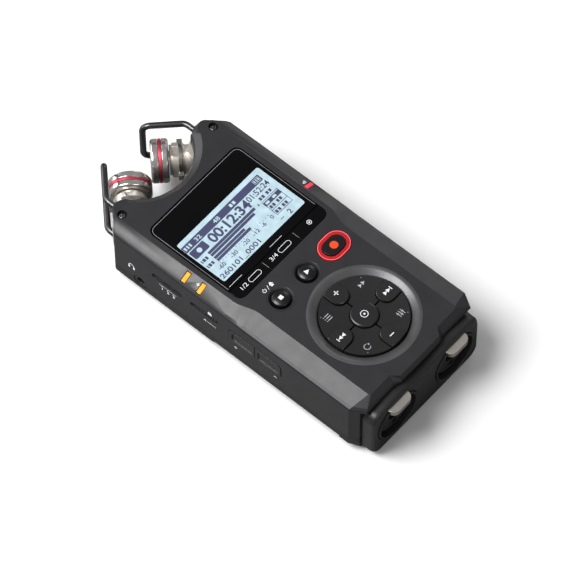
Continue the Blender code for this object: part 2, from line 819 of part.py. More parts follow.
GUARD_LEVELS = (MIC_Z + GUARD_HALF_SPACING, MIC_Z - GUARD_HALF_SPACING)


# Front shell


def front_shell():
    round_share = SHOULDER_ROUND / (HALF_WIDTH - UPPER_PLATE_HALF)
    shell = loft(
        "front_shell",
        [
            casing_section(0, PARTING_HEIGHT + FIT_GAP),
            casing_section(0, SHOULDER_Z - SHOULDER_ROUND),
            casing_section(round_share / 4, SHOULDER_Z - SHOULDER_ROUND / 4),
            casing_section(round_share, SHOULDER_Z + SHOULDER_DROP * round_share * SHOULDER_FULL_SHARE),
            casing_section(1, PLATE_Z),
        ],
        SHELL_BLACK,
    )
    cut(shell, input_end_recess("front_end_recess"))
    side_cavity = HALF_WIDTH - SHELL_WALL
    cut(
        shell,
        flat(
            "front_lower_cavity",
            [
                rounded_rectangle(
                    (-side_cavity, along(END_FACET_ALONG + SHELL_WALL)),
                    (side_cavity, along(CAVITY_TOP_ALONG)),
                    WINDOW_CORNER,
                )
            ],
            -OVERRUN,
            PLATE_Z - CAVITY_STEP_DROP,
        ),
        flat(
            "front_upper_cavity",
            [
                rounded_rectangle(
                    (-CAVITY_SIDE_HALF, along(END_SLOPE)),
                    (CAVITY_SIDE_HALF, along(CAVITY_TOP_ALONG)),
                    WINDOW_CORNER,
                )
            ],
            -OVERRUN,
            INNER_TOP,
        ),
        box(
            "front_end_opening",
            (-CAVITY_END_HALF, END_Y - OVERRUN, -OVERRUN),
            (CAVITY_END_HALF, along(END_FACET_ALONG + OVERRUN), PLATE_Z - END_LIP_THICKNESS - SHELL_WALL),
        ),
    )
    cut_window_openings(shell)
    cut_button_openings(shell)
    cut_side_openings(shell)
    for side, hand in ((-1, "left"), (1, "right")):
        cut_horn(shell, side, hand)
    shade_round(shell)
    return shell


def window_outline(grow=0.0, low=STRIP_LOW):
    return rounded_rectangle(
        (-WINDOW_HALF - grow, along(low) - grow),
        (WINDOW_HALF + grow, along(WINDOW_HIGH) + grow),
        WINDOW_CORNER + grow,
    )


def cut_window_openings(shell):
    top = PLATE_Z + OVERRUN
    cut(
        shell,
        flat("window_pocket", [window_outline(FIT_GAP)], PLATE_Z - WINDOW_POCKET, top),
        box(
            "screen_opening",
            (-SCREEN_HALF, along(SCREEN_LOW), INNER_TOP - OVERRUN),
            (SCREEN_HALF, along(SCREEN_HIGH), top),
        ),
        box(
            "strip_key_opening",
            (-WINDOW_HALF + STRIP_SLOT_MARGIN, along(STRIP_LOW) + STRIP_KEY_STEM_ACROSS, INNER_TOP - OVERRUN),
            (WINDOW_HALF - STRIP_SLOT_MARGIN, along(WINDOW_LOW) - STRIP_KEY_STEM_ACROSS, top),
        ),
    )


def cut_button_openings(shell):
    top = PLATE_Z + OVERRUN
    row = along(BUTTON_ROW)
    hole_radius = BUTTON_RADIUS + FIT_GAP
    for name, x in (("stop", STOP_X), ("play", PLAY_X)):
        cut(
            shell,
            round_cutter(name + "_hole", hole_radius, INNER_TOP - OVERRUN, top, (x, row), BUTTON_STEPS),
            dish(name + "_dish", BUTTON_DISH_RADIUS, hole_radius, BUTTON_DISH_DEPTH, (x, row), BUTTON_STEPS),
        )
    pad = (0, along(PAD_ALONG))
    ring_length = RECORD_LENGTH + 2 * (LIGHT_RING_WALL + FIT_GAP)
    ring_width = RECORD_WIDTH + 2 * (LIGHT_RING_WALL + FIT_GAP)
    hole_length = RECORD_LENGTH + 2 * FIT_GAP
    hole_width = RECORD_WIDTH + 2 * FIT_GAP
    cut(
        shell,
        flat(
            "light_ring_pocket",
            [stadium((RECORD_X, row), ring_length + 2 * FIT_GAP, ring_width + 2 * FIT_GAP)],
            PLATE_Z - LIGHT_RING_DEPTH,
            top,
        ),
        flat("record_hole", [stadium((RECORD_X, row), hole_length, hole_width)], INNER_TOP - OVERRUN, top),
        round_cutter("pad_hole", PAD_RADIUS + FIT_GAP, INNER_TOP - OVERRUN, top, pad, ROUND_STEPS),
        dish(
            "pad_basin",
            PAD_BASIN_RADIUS,
            PAD_RADIUS + FIT_GAP,
            PAD_BASIN_DEPTH,
            pad,
            ROUND_STEPS,
        ),
    )


def dish(name, top_radius, bottom_radius, depth, centre, steps):
    """A hollow ring of a cutter that slopes from the plate down to a hole's rim."""
    slope = (top_radius - bottom_radius) / depth
    extra = OVERRUN / 4
    inside = FIT_GAP
    profile = [
        (0, PLATE_Z + extra),
        (top_radius + slope * extra, PLATE_Z + extra),
        (bottom_radius - inside, PLATE_Z - depth - inside / slope),
        (0, PLATE_Z - depth - inside / slope),
    ]
    cutter = turned(name, profile, steps)
    return settle(cutter, Matrix.Translation((*centre, 0)))


def wall_cutter(name, side, distance, height, outline, depth_from, depth_to):
    """A flat cutter stood on a side wall: the outline's X runs along the casing and its Y is height."""
    cutter = flat(name, [outline], depth_from, depth_to)
    turn = LYING_TO_LEFT_WALL if side < 0 else LYING_TO_RIGHT_WALL
    place = Matrix.Translation((side * HALF_WIDTH, along(distance), height))
    return settle(cutter, place @ turn)


def centred_outline(length, height, radius, steps=3):
    return rounded_rectangle((-length / 2, -height / 2), (length / 2, height / 2), radius, steps)


SWITCHES = (
    ("input_switch", INPUT_SWITCH_ALONG, INPUT_SWITCH_LENGTH, 2 * INPUT_SWITCH_STEP),
    ("hold_switch", HOLD_SWITCH_ALONG, HOLD_SWITCH_LENGTH, HOLD_SWITCH_TRAVEL),
)


def cut_side_openings(shell):
    through = SHELL_WALL + OVERRUN
    switch_z = PLATE_Z - SWITCH_DROP
    for name, distance, length, travel in SWITCHES:
        slot_length = SWITCH_KNOB_LENGTH + travel + 2 * FIT_GAP
        pocket = centred_outline(length, SWITCH_POCKET_HEIGHT, SWITCH_POCKET_HEIGHT / 2)
        slot = centred_outline(slot_length, SWITCH_SLOT_HEIGHT + 2 * FIT_GAP, FIT_GAP)
        cut(
            shell,
            wall_cutter(name + "_pocket", -1, distance, switch_z, pocket, -SWITCH_POCKET_DEPTH, OVERRUN),
            wall_cutter(name + "_slot", -1, distance, switch_z, slot, -through, OVERRUN),
        )
    for name, side, distance, length, height, drop in (
        ("level_keys", -1, LEVEL_KEYS_ALONG, LEVEL_KEYS_LENGTH, LEVEL_KEYS_HEIGHT, LEVEL_KEYS_DROP),
        ("volume_keys", 1, VOLUME_KEYS_ALONG, VOLUME_KEYS_LENGTH, VOLUME_KEYS_HEIGHT, SWITCH_DROP),
    ):
        hole = centred_outline(length + 2 * FIT_GAP, height + 2 * FIT_GAP, SIDE_KEY_CORNER + FIT_GAP)
        cut(shell, wall_cutter(name + "_hole", side, distance, PLATE_Z - drop, hole, -through, OVERRUN))
    card_z = PLATE_Z - CARD_DOOR_DROP
    pocket_low = -CARD_DOOR_THICKNESS - FIT_GAP
    door = centred_outline(
        CARD_DOOR_LENGTH + 2 * FIT_GAP, CARD_DOOR_HEIGHT + 2 * FIT_GAP, SIDE_KEY_CORNER + FIT_GAP
    )
    slot = centred_outline(CARD_SLOT_LENGTH, CARD_SLOT_HEIGHT, FIT_GAP)
    usb_hole = centred_outline(USB_LENGTH + 2 * FIT_GAP, USB_HEIGHT + 2 * FIT_GAP, USB_HEIGHT / 2)
    cut(
        shell,
        wall_cutter("card_door_pocket", 1, CARD_DOOR_ALONG, card_z, door, pocket_low, OVERRUN),
        wall_cutter("card_slot", 1, CARD_DOOR_ALONG, card_z, slot, -through, OVERRUN),
        wall_cutter("usb_hole", 1, USB_ALONG, card_z, usb_hole, -through, OVERRUN),
        side_socket_hole("front_phones_hole", -1, PHONES_ALONG),
        side_socket_hole("front_remote_hole", 1, REMOTE_ALONG),
    )
    for name, side, distance in lens_places():
        cut(shell, lens_block(name + "_hole", side, distance, FIT_GAP, OVERRUN))


def lens_places():
    names = ("power_lens", "source_lens")
    left = [(name, -1, distance) for name, distance in zip(names, LEFT_LENS_ALONG)]
    return left + [("peak_lens", 1, RIGHT_LENS_ALONG)]


def lens_block(name, side, distance, grow, rise, finish=None):
    """A small block set square into the sloped band beside the display."""
    slope = math.atan2(SHOULDER_DROP, HALF_WIDTH - UPPER_PLATE_HALF)
    middle = (UPPER_PLATE_HALF + HALF_WIDTH) / 2
    depth = LENS_DEPTH + grow
    block = box(
        name,
        (-LENS_LENGTH / 2 - grow, -LENS_WIDTH / 2 - grow, -depth),
        (LENS_LENGTH / 2 + grow, LENS_WIDTH / 2 + grow, rise),
        finish,
    )
    place = Matrix.Translation((side * middle, along(distance), PLATE_Z - SHOULDER_DROP / 2))
    return settle(block, place @ Matrix.Rotation(side * slope, 4, "Y"))


def cut_horn(shell, side, hand):
    centre = pivot(side)
    top = PLATE_Z - SLOT_TOP_DROP
    mouth_low = (min(side * HALF_WIDTH * 2, 0), along(SLOT_MOUTH_ALONG), -OVERRUN)
    mouth_high = (max(side * HALF_WIDTH * 2, 0), HORN_END + OVERRUN, top)
    head_top = PLATE_Z - HORN_SCREW_SINK + FIT_GAP
    head_low = PLATE_Z - HORN_SCREW_SINK - HORN_SCREW_HEAD_HEIGHT - FIT_GAP
    screw = (side * HORN_SCREW_X, along(HORN_SCREW_ALONG))
    cut(
        shell,
        round_cutter(hand + "_swivel_slot", SLOT_RADIUS, -OVERRUN, top, centre, 32),
        box(hand + "_swivel_mouth", mouth_low, mouth_high),
        round_cutter(hand + "_pin_hole", PIN_RADIUS + FIT_GAP, -OVERRUN, top + PIN_DEPTH + FIT_GAP, centre),
        round_cutter(hand + "_screw_seat", HORN_SCREW_RADIUS + FIT_GAP, head_low, head_top + OVERRUN, screw),
        round_cutter(
            hand + "_screw_hole",
            HORN_SCREW_SHANK_RADIUS + FIT_GAP,
            head_low - HORN_SCREW_LENGTH - FIT_GAP,
            head_top,
            screw,
        ),
        guard_hole(hand + "_upper_guard_hole", side, GUARD_LEVELS[0]),
    )


# Rear shell


def rear_shell():
    base_inset = BACK_EDGE_ACROSS
    shell = loft(
        "rear_shell",
        [
            casing_section(0, 0, base_inset),
            casing_section(0, BACK_EDGE_ROUND, base_inset - BACK_EDGE_ACROSS / 3),
            casing_section(0, BACK_EDGE_UP, 0),
            casing_section(0, PARTING_HEIGHT, 0),
        ],
        SIDE_BLACK,
    )
    taper_length = BODY_LENGTH - BACK_TAPER_ALONG
    taper = box(
        "back_taper",
        (-HALF_WIDTH - OVERRUN, 0, -BODY_HEIGHT),
        (HALF_WIDTH + OVERRUN, taper_length + OVERRUN, 0),
    )
    tilt = Matrix.Rotation(math.atan2(BACK_TAPER_RISE, taper_length), 4, "X")
    settle(taper, Matrix.Translation((0, along(BACK_TAPER_ALONG), 0)) @ tilt)
    side_cavity = HALF_WIDTH - SHELL_WALL
    cut(shell, taper, input_end_recess("rear_end_recess"))
    web_top = COVER_HEIGHT + FIT_GAP + BAY_WEB_THICKNESS
    cut(
        shell,
        box(
            "cover_opening",
            (-HALF_WIDTH - OVERRUN, along(COVER_LOW) - FIT_GAP, -OVERRUN),
            (HALF_WIDTH + OVERRUN, along(COVER_HIGH) + FIT_GAP, COVER_HEIGHT + FIT_GAP),
        ),
        box(
            "rear_web_cavity",
            (-side_cavity, along(COVER_LOW) - OVERRUN / 2, web_top),
            (side_cavity, along(COVER_HIGH), PARTING_HEIGHT + OVERRUN),
        ),
        box(
            "rear_upper_cavity",
            (-side_cavity + SHELL_WALL, along(COVER_HIGH + SHELL_WALL), BACK_EDGE_UP),
            (side_cavity - SHELL_WALL, along(SPEAKER_BAY_HIGH), PARTING_HEIGHT + OVERRUN),
        ),
        box(
            "rear_end_cavity",
            (-CAVITY_END_HALF, RECESS_Y - OVERRUN, PANEL_BOTTOM + SHELL_WALL / 2),
            (CAVITY_END_HALF, along(COVER_LOW) - SHELL_WALL / 2, PARTING_HEIGHT + OVERRUN),
        ),
    )
    add_battery_bay(shell)
    cut_back_openings(shell)
    for side, hand in ((-1, "left"), (1, "right")):
        cut(
            shell,
            guard_hole(hand + "_lower_guard_hole", side, GUARD_LEVELS[1]),
            round_cutter(
                hand + "_lower_pin_hole",
                PIN_RADIUS + FIT_GAP,
                PARTING_HEIGHT - PIN_DEPTH - FIT_GAP,
                PARTING_HEIGHT + OVERRUN,
                pivot(side),
            ),
        )
    cut(
        shell,
        side_socket_hole("rear_phones_hole", -1, PHONES_ALONG),
        side_socket_hole("rear_remote_hole", 1, REMOTE_ALONG),
    )
    shade_round(shell)
    return shell


CELL_SPREAD = CELL_PITCH + CELL_RADIUS
BAY_LOW = CELL_LOW - CONTACT_SPRING_LENGTH - CONTACT_THICKNESS - 2 * FIT_GAP
BAY_HIGH = CELL_LOW + CELL_LENGTH + CELL_BUTTON_LENGTH + CONTACT_THICKNESS + 2 * FIT_GAP
BAY_HALF = CELL_SPREAD + BAY_SIDE_GAP
BAY_ROOF = CELL_HEIGHT + CELL_RADIUS + FIT_GAP


def add_battery_bay(shell):
    """An open-bottomed box for the three cells, standing on the web inside the rear shell."""
    web_low = COVER_HEIGHT + FIT_GAP
    join(
        shell,
        box(
            "bay_outside",
            (-BAY_HALF - BAY_WALL, along(BAY_LOW) - BAY_WALL, web_low + BAY_WEB_THICKNESS / 2),
            (BAY_HALF + BAY_WALL, along(BAY_HIGH) + BAY_WALL, BAY_ROOF + BAY_WALL),
        ),
    )
    cut(
        shell,
        box("bay_inside", (-BAY_HALF, along(BAY_LOW), -OVERRUN), (BAY_HALF, along(BAY_HIGH), BAY_ROOF)),
    )


def cut_back_openings(shell):
    speaker = (0, along(SPEAKER_ALONG))
    for row in (-1, 0, 1):
        for column in (-1, 0, 1):
            centre = (speaker[0] + column * SPEAKER_HOLE_PITCH, speaker[1] + row * SPEAKER_HOLE_PITCH)
            name = f"speaker_hole_{row + 1}{column + 1}"
            cut(shell, round_cutter(name, SPEAKER_HOLE_RADIUS, -OVERRUN, BACK_EDGE_UP + OVERRUN, centre, 8))
    bush = (0, along(TRIPOD_ALONG))
    seat = circle(bush, TRIPOD_BUSH_RADIUS + 2 * FIT_GAP, TRIPOD_BUSH_SIDES)
    cut(
        shell,
        round_cutter("tripod_dish", TRIPOD_DISH_RADIUS, -OVERRUN, BACK_EDGE_UP, bush),
        flat("tripod_seat", [seat], tripod_low() - FIT_GAP, BODY_HEIGHT),
    )


def tripod_low():
    return PARTING_HEIGHT - TRIPOD_BUSH_LENGTH


# Window, display and keys


def display_window():
    outline = rounded_rectangle(
        (-WINDOW_HALF, along(WINDOW_LOW) + FIT_GAP),
        (WINDOW_HALF, along(WINDOW_HIGH)),
        WINDOW_CORNER,
        corners=(False, True, True, False),
    )
    top = PLATE_Z - WINDOW_SINK
    sheet = flat("display_window", [outline], top - WINDOW_THICKNESS, top, WINDOW_BLACK)
    return round_edges(sheet, FIT_GAP / 2, 1)


def screen_module():
    top = INNER_TOP - FIT_GAP
    outline = rounded_rectangle(
        (-SCREEN_HALF - SCREEN_MODULE_BORDER + FIT_GAP, along(SCREEN_LOW) - SCREEN_MODULE_BORDER),
        (SCREEN_HALF + SCREEN_MODULE_BORDER - FIT_GAP, along(SCREEN_HIGH) + SCREEN_MODULE_BORDER),
        FIT_GAP,
        1,
    )
    module = flat("screen_module", [outline], top - SCREEN_MODULE_THICKNESS, top, SCREEN_BLUE)
    glass_top = PLATE_Z - WINDOW_SINK - WINDOW_THICKNESS - FIT_GAP
    glass = box(
        "screen_glass",
        (-SCREEN_HALF + FIT_GAP, along(SCREEN_LOW) + FIT_GAP, top - SCREEN_MODULE_THICKNESS / 2),
        (SCREEN_HALF - FIT_GAP, along(SCREEN_HIGH) - FIT_GAP, glass_top),
    )
    return join(module, glass)


def strip_keys():
    names = ("input_1_2_key", "input_3_4_key", "record_mode_key")
    edges = (-WINDOW_HALF, *STRIP_SPLITS, WINDOW_HALF)
    top = PLATE_Z - WINDOW_SINK
    for index, name in enumerate(names):
        left = edges[index] + (FIT_GAP / 2 if index > 0 else 0)
        right = edges[index + 1] - (FIT_GAP / 2 if index < len(names) - 1 else 0)
        outline = rounded_rectangle(
            (left, along(STRIP_LOW)),
            (right, along(WINDOW_LOW)),
            WINDOW_CORNER,
            corners=(index == len(names) - 1, False, False, index == 0),
        )
        key = flat(name, [outline], top - STRIP_KEY_THICKNESS, top, WINDOW_BLACK)
        middle = (left + right) / 2
        row = (along(STRIP_LOW) + along(WINDOW_LOW)) / 2
        stem = box(
            name + "_stem",
            (middle - STRIP_KEY_STEM_HALF, row - STRIP_KEY_STEM_ACROSS, KEY_BOTTOM),
            (middle + STRIP_KEY_STEM_HALF, row + STRIP_KEY_STEM_ACROSS, top - STRIP_KEY_THICKNESS / 2),
        )
        join(key, stem)
        put_origin(key, (middle, row, PLATE_Z))


def domed_button(name, x, finish):
    top = PLATE_Z + BUTTON_RISE
    profile = [
        (0, top),
        *((BUTTON_RADIUS * across, top - BUTTON_DOME * down) for across, down in BUTTON_DOME_SHARES),
        (BUTTON_RADIUS, INNER_TOP - FIT_GAP),
        (BUTTON_RADIUS + BUTTON_FLANGE, INNER_TOP - FIT_GAP),
        (BUTTON_RADIUS + BUTTON_FLANGE, KEY_BOTTOM),
        (0, KEY_BOTTOM),
    ]
    button = turned(name, profile, BUTTON_STEPS, finish)
    return settle(shade_round(button), Matrix.Translation((x, along(BUTTON_ROW), 0)))


def record_button():
    centre = (0, 0)
    outline = stadium(centre, RECORD_LENGTH, RECORD_WIDTH)
    cap = flat("record_button", [outline], KEY_BOTTOM, PLATE_Z + RECORD_RISE, KEY_BLACK)
    flange = flat(
        "record_flange",
        [stadium(centre, RECORD_LENGTH + 2 * BUTTON_FLANGE, RECORD_WIDTH + 2 * BUTTON_FLANGE)],
        KEY_BOTTOM,
        INNER_TOP - FIT_GAP,
    )
    round_edges(cap, PAD_EDGE_BEVEL, 2)
    join(cap, flange)
    return settle_with_tools(cap, Matrix.Translation((RECORD_X, along(BUTTON_ROW), 0)))


def record_light_ring():
    centre = (RECORD_X, along(BUTTON_ROW))
    inside = stadium(centre, RECORD_LENGTH + 2 * FIT_GAP, RECORD_WIDTH + 2 * FIT_GAP)
    outside = stadium(
        centre,
        RECORD_LENGTH + 2 * (FIT_GAP + LIGHT_RING_WALL),
        RECORD_WIDTH + 2 * (FIT_GAP + LIGHT_RING_WALL),
    )
    ring = flat(
        "record_light_ring",
        [outside, inside],
        PLATE_Z - LIGHT_RING_DEPTH + FIT_GAP,
        PLATE_Z + LIGHT_RING_RISE,
        RECORD_RED,
    )
    return round_edges(ring, PAD_EDGE_BEVEL, 2)


ARROWS = (("forward_key", 0), ("plus_key", 90), ("back_key", 180), ("minus_key", 270))
SECTORS = (("quick_key", 45), ("menu_key", 135), ("playback_key", 225), ("mixer_key", 315))


def pad_keys():
    """The centre key, four arrow keys with round inner ends and four wide keys between them."""
    centre = (0, along(PAD_ALONG))
    place = Matrix.Translation((*centre, 0))
    enter_profile = [
        (0, PLATE_Z + ENTER_RISE),
        (ENTER_RADIUS - PAD_EDGE_BEVEL * 2, PLATE_Z + ENTER_RISE),
        (ENTER_RADIUS, PLATE_Z + ENTER_RISE - PAD_EDGE_BEVEL),
        (ENTER_RADIUS, KEY_BOTTOM),
        (0, KEY_BOTTOM),
    ]
    settle(shade_round(turned("enter_key", enter_profile, 32, KEY_BLACK)), place)
    for name, degrees in ARROWS:
        turn = Matrix.Rotation(math.radians(degrees), 4, "Z")
        key = flat(name, [arrow_outline(0)], KEY_BOTTOM, PLATE_Z + ARROW_RISE, KEY_BLACK)
        settle(round_edges(key, PAD_EDGE_BEVEL, 1, 60), place @ turn)
    for name, degrees in SECTORS:
        turn = Matrix.Rotation(math.radians(degrees), 4, "Z")
        settle_with_tools(sector_key(name), place @ turn)


def arrow_outline(grow):
    """An arrow key's outline, pointing along +X: a round inner end, straight sides and the pad's own rim."""
    half = ARROW_WIDTH / 2 + grow
    rim = PAD_RADIUS + grow
    swing = math.asin(half / rim)
    outer = arc((0, 0), rim, -swing, swing, 5)
    inner_centre = (ARROW_INNER + ARROW_WIDTH / 2, 0)
    inner = arc(inner_centre, half, math.pi / 2, 3 * math.pi / 2, 8)
    return outer + inner


def sector_key(name):
    """A wide key between two arrow keys: a quarter of a ring less what the centre and arrow keys take."""
    slack = PAD_GAP / PAD_RADIUS
    quarter = math.pi / 4
    rim = arc((0, 0), PAD_RADIUS, -quarter + slack, quarter - slack, 12)
    hub = arc((0, 0), ENTER_RADIUS + PAD_GAP, quarter - 3 * slack, -quarter + 3 * slack, 6)
    low = KEY_BOTTOM
    key = flat(name, [rim + hub], low, PLATE_Z - PAD_SINK, KEY_BLACK)
    for index, turn in enumerate((-quarter, quarter)):
        tool = flat(f"{name}_relief_{index}", [arrow_outline(PAD_GAP)], low - OVERRUN, PLATE_Z + OVERRUN)
        settle(tool, Matrix.Rotation(turn, 4, "Z"))
        cut(key, tool)
    hollow = turned(
        name + "_dish",
        [
            (0, PLATE_Z + OVERRUN / 4),
            (PAD_RADIUS - PAD_EDGE_BEVEL, PLATE_Z + OVERRUN / 4),
            (PAD_RADIUS - PAD_EDGE_BEVEL, PLATE_Z - PAD_SINK),
            (mix(ENTER_RADIUS, PAD_RADIUS, PAD_DISH_TURN_SHARE), PLATE_Z - PAD_SINK - PAD_DISH),
            (0, PLATE_Z - PAD_SINK - PAD_DISH),
        ],
        24,
    )
    return cut(key, hollow)


def key_mat():
    outline = rounded_rectangle((-MAT_HALF, along(MAT_LOW)), (MAT_HALF, along(MAT_HIGH)), WINDOW_CORNER, 3)
    return flat("key_mat", [outline], MAT_TOP - MAT_THICKNESS, MAT_TOP, MAT_GREY)


def main_board():
    outline = rounded_rectangle(
        (-BOARD_HALF, along(BOARD_LOW)), (BOARD_HALF, along(BOARD_HIGH)), BOARD_CORNER, 2
    )
    return flat("main_board", [outline], board_top() - BOARD_THICKNESS, board_top(), BOARD_GREEN)


def board_top():
    under_screen = INNER_TOP - FIT_GAP - SCREEN_MODULE_THICKNESS - FIT_GAP
    return min(BOARD_TOP, under_screen)


def horn_screw(side, hand):
    top = PLATE_Z - HORN_SCREW_SINK
    head_low = top - HORN_SCREW_HEAD_HEIGHT
    profile = [
        (0, top),
        (HORN_SCREW_RADIUS * HORN_SCREW_FLAT_SHARE, top),
        (HORN_SCREW_RADIUS, top - HORN_SCREW_HEAD_HEIGHT / 3),
        (HORN_SCREW_RADIUS, head_low),
        (HORN_SCREW_SHANK_RADIUS, head_low),
        (HORN_SCREW_SHANK_RADIUS, head_low - HORN_SCREW_LENGTH),
        (0, head_low - HORN_SCREW_LENGTH),
    ]
    name = f"{hand}_horn_screw"
    screw = shade_round(turned(name, profile, 16, SCREW_BLACK))
    reach = HORN_SCREW_RADIUS * HORN_SCREW_FLAT_SHARE
    half = SCREW_SLOT_WIDTH / 2
    depth = HORN_SCREW_HEAD_HEIGHT * HORN_SCREW_SLOT_SHARE
    cut(
        screw,
        box(name + "_slot_across", (-reach, -half, top - depth), (reach, half, top + OVERRUN)),
        box(name + "_slot_along", (-half, -reach, top - depth), (half, reach, top + OVERRUN)),
    )
    return settle_with_tools(screw, Matrix.Translation((side * HORN_SCREW_X, along(HORN_SCREW_ALONG), 0)))


# Side switches, keys and sockets


def side_matrix(side, distance, height):
    turn = LYING_TO_LEFT_WALL if side < 0 else LYING_TO_RIGHT_WALL
    return Matrix.Translation((side * HALF_WIDTH, along(distance), height)) @ turn


def slide_switch(name, distance, length, travel, rest_shift):
    """A ribbed knob in its slot, with a foot behind the wall that holds it in."""
    height = PLATE_Z - SWITCH_DROP
    inner = -SHELL_WALL - FIT_GAP
    knob = box(
        name,
        (-SWITCH_KNOB_LENGTH / 2, -SWITCH_SLOT_HEIGHT / 2, inner - SWITCH_FOOT_THICKNESS / 2),
        (SWITCH_KNOB_LENGTH / 2, SWITCH_SLOT_HEIGHT / 2, -SWITCH_POCKET_DEPTH + SWITCH_KNOB_PROUD),
        KEY_BLACK,
    )
    foot_half = SWITCH_KNOB_LENGTH / 2 + travel / 2 + SWITCH_FOOT_OVERLAP
    foot = box(
        name + "_foot",
        (-foot_half, -SWITCH_FOOT_HEIGHT / 2, inner - SWITCH_FOOT_THICKNESS),
        (foot_half, SWITCH_FOOT_HEIGHT / 2, inner),
    )
    join(knob, foot)
    pitch = SWITCH_KNOB_LENGTH / (SWITCH_GROOVES + 1)
    for index in range(SWITCH_GROOVES):
        start = -SWITCH_KNOB_LENGTH / 2 + pitch * (index + SWITCH_GROOVE_START_SHARE)
        groove = box(
            f"{name}_groove_{index}",
            (start, -SWITCH_SLOT_HEIGHT, -SWITCH_POCKET_DEPTH + SWITCH_KNOB_PROUD / 3),
            (start + pitch / 2, SWITCH_SLOT_HEIGHT, OVERRUN),
        )
        cut(knob, groove)
    place = side_matrix(-1, distance, height) @ Matrix.Translation((-rest_shift, 0, 0))
    return settle_with_tools(knob, place)


def side_key_pair(names, side, distance, length, height, drop):
    """Two keys end to end in one opening, each with a foot behind the wall."""
    inner = -SHELL_WALL - FIT_GAP
    matrix = side_matrix(side, distance, PLATE_Z - drop)
    hollow_low = LEVEL_KEY_PROUD - LEVEL_KEY_DISH
    for index, name in enumerate(names):
        toward = 1 if index == 0 else -1
        ends = sorted((toward * FIT_GAP / 2, toward * length / 2))
        rounded = (toward > 0, toward > 0, toward < 0, toward < 0)
        outline = rounded_rectangle(
            (ends[0], -height / 2), (ends[1], height / 2), SIDE_KEY_CORNER, SIDE_KEY_CORNER_STEPS, rounded
        )
        key = flat(name, [outline], inner - SIDE_KEY_FOOT / 2, LEVEL_KEY_PROUD, KEY_BLACK)
        foot = box(
            name + "_foot",
            (ends[0], -height / 2 - BUTTON_FLANGE, inner - SIDE_KEY_FOOT),
            (ends[1], height / 2 + BUTTON_FLANGE, inner),
        )
        hollow = box(
            name + "_hollow",
            (ends[0] + SIDE_KEY_CORNER, -height / 2 + SIDE_KEY_CORNER, hollow_low),
            (ends[1] - SIDE_KEY_CORNER, height / 2 - SIDE_KEY_CORNER, LEVEL_KEY_PROUD + OVERRUN),
        )
        join(key, foot)
        cut(key, hollow)
        settle_with_tools(key, matrix)


def side_socket(name, side, distance):
    """A small round audio socket with its bore and a funnel at its mouth."""
    face = -SOCKET_SINK
    profile = [
        (SOCKET_LIP_RADIUS, face),
        (SOCKET_RADIUS, face),
        (SOCKET_RADIUS, -SOCKET_DEPTH),
        (SOCKET_BORE_RADIUS, -SOCKET_DEPTH),
        (SOCKET_BORE_RADIUS, face - SOCKET_LIP_DEPTH),
    ]
    socket = shade_round(turned(name, profile, 24, KEY_BLACK))
    return settle(socket, side_matrix(side, distance, SOCKET_HEIGHT))


def card_door():
    outline = centred_outline(CARD_DOOR_LENGTH, CARD_DOOR_HEIGHT, SIDE_KEY_CORNER)
    door = flat("card_door", [outline], -CARD_DOOR_THICKNESS, 0, SIDE_BLACK)
    round_edges(door, FIT_GAP, 1)
    settle(door, side_matrix(1, CARD_DOOR_ALONG, PLATE_Z - CARD_DOOR_DROP))
    door.data.transform(Matrix.Translation((0, CARD_DOOR_HEIGHT / 2, 0)))
    door.location.z -= CARD_DOOR_HEIGHT / 2
    return door


def usb_socket():
    outside = centred_outline(USB_LENGTH, USB_HEIGHT, USB_HEIGHT / 2 - FIT_GAP, 4)
    inside = centred_outline(
        USB_LENGTH - 2 * USB_WALL, USB_HEIGHT - 2 * USB_WALL, USB_HEIGHT / 2 - FIT_GAP - USB_WALL, 4
    )
    shell = flat("usb_socket", [outside, inside], -USB_DEPTH, -SOCKET_SINK, SPRING_STEEL)
    back = flat("usb_back", [outside], -USB_DEPTH - USB_WALL, -USB_DEPTH + USB_WALL)
    tongue = box(
        "usb_tongue",
        (-USB_LENGTH / 2 + USB_HEIGHT / 2, -USB_TONGUE / 2, -USB_DEPTH),
        (USB_LENGTH / 2 - USB_HEIGHT / 2, USB_TONGUE / 2, -USB_DEPTH + USB_TONGUE_LENGTH),
    )
    join(shell, back, tongue)
    return settle_with_tools(shell, side_matrix(1, USB_ALONG, PLATE_Z - CARD_DOOR_DROP))


# Input end


def panel_half(inset):
    """Right half of the jack panel's outline, as (x, height), from the top centre down to the bottom."""
    lower_inset = inset * PANEL_LOWER_EDGE / PANEL_EDGE_SLOPE
    top = BODY_HEIGHT - PANEL_TOP_DROP - inset
    half_width = PANEL_HALF - lower_inset
    bottom = PANEL_BOTTOM + lower_inset
    half = []
    for step in range(9):
        x = (half_width - PANEL_CORNER) * step / 8
        wave = PANEL_WAVE * (1 - math.cos(2 * math.pi * min(x / (2 * COMBO_X), 1))) / 2
        half.append((x, top - PANEL_WAVE + wave))
    corner_top = half[-1][1]
    half += arc((half_width - PANEL_CORNER, corner_top - PANEL_CORNER), PANEL_CORNER, math.pi / 2, 0, 4)[1:]
    half += arc((half_width - PANEL_CORNER, bottom + PANEL_CORNER), PANEL_CORNER, 0, -math.pi / 2, 4)
    half.append((0, bottom))
    return half


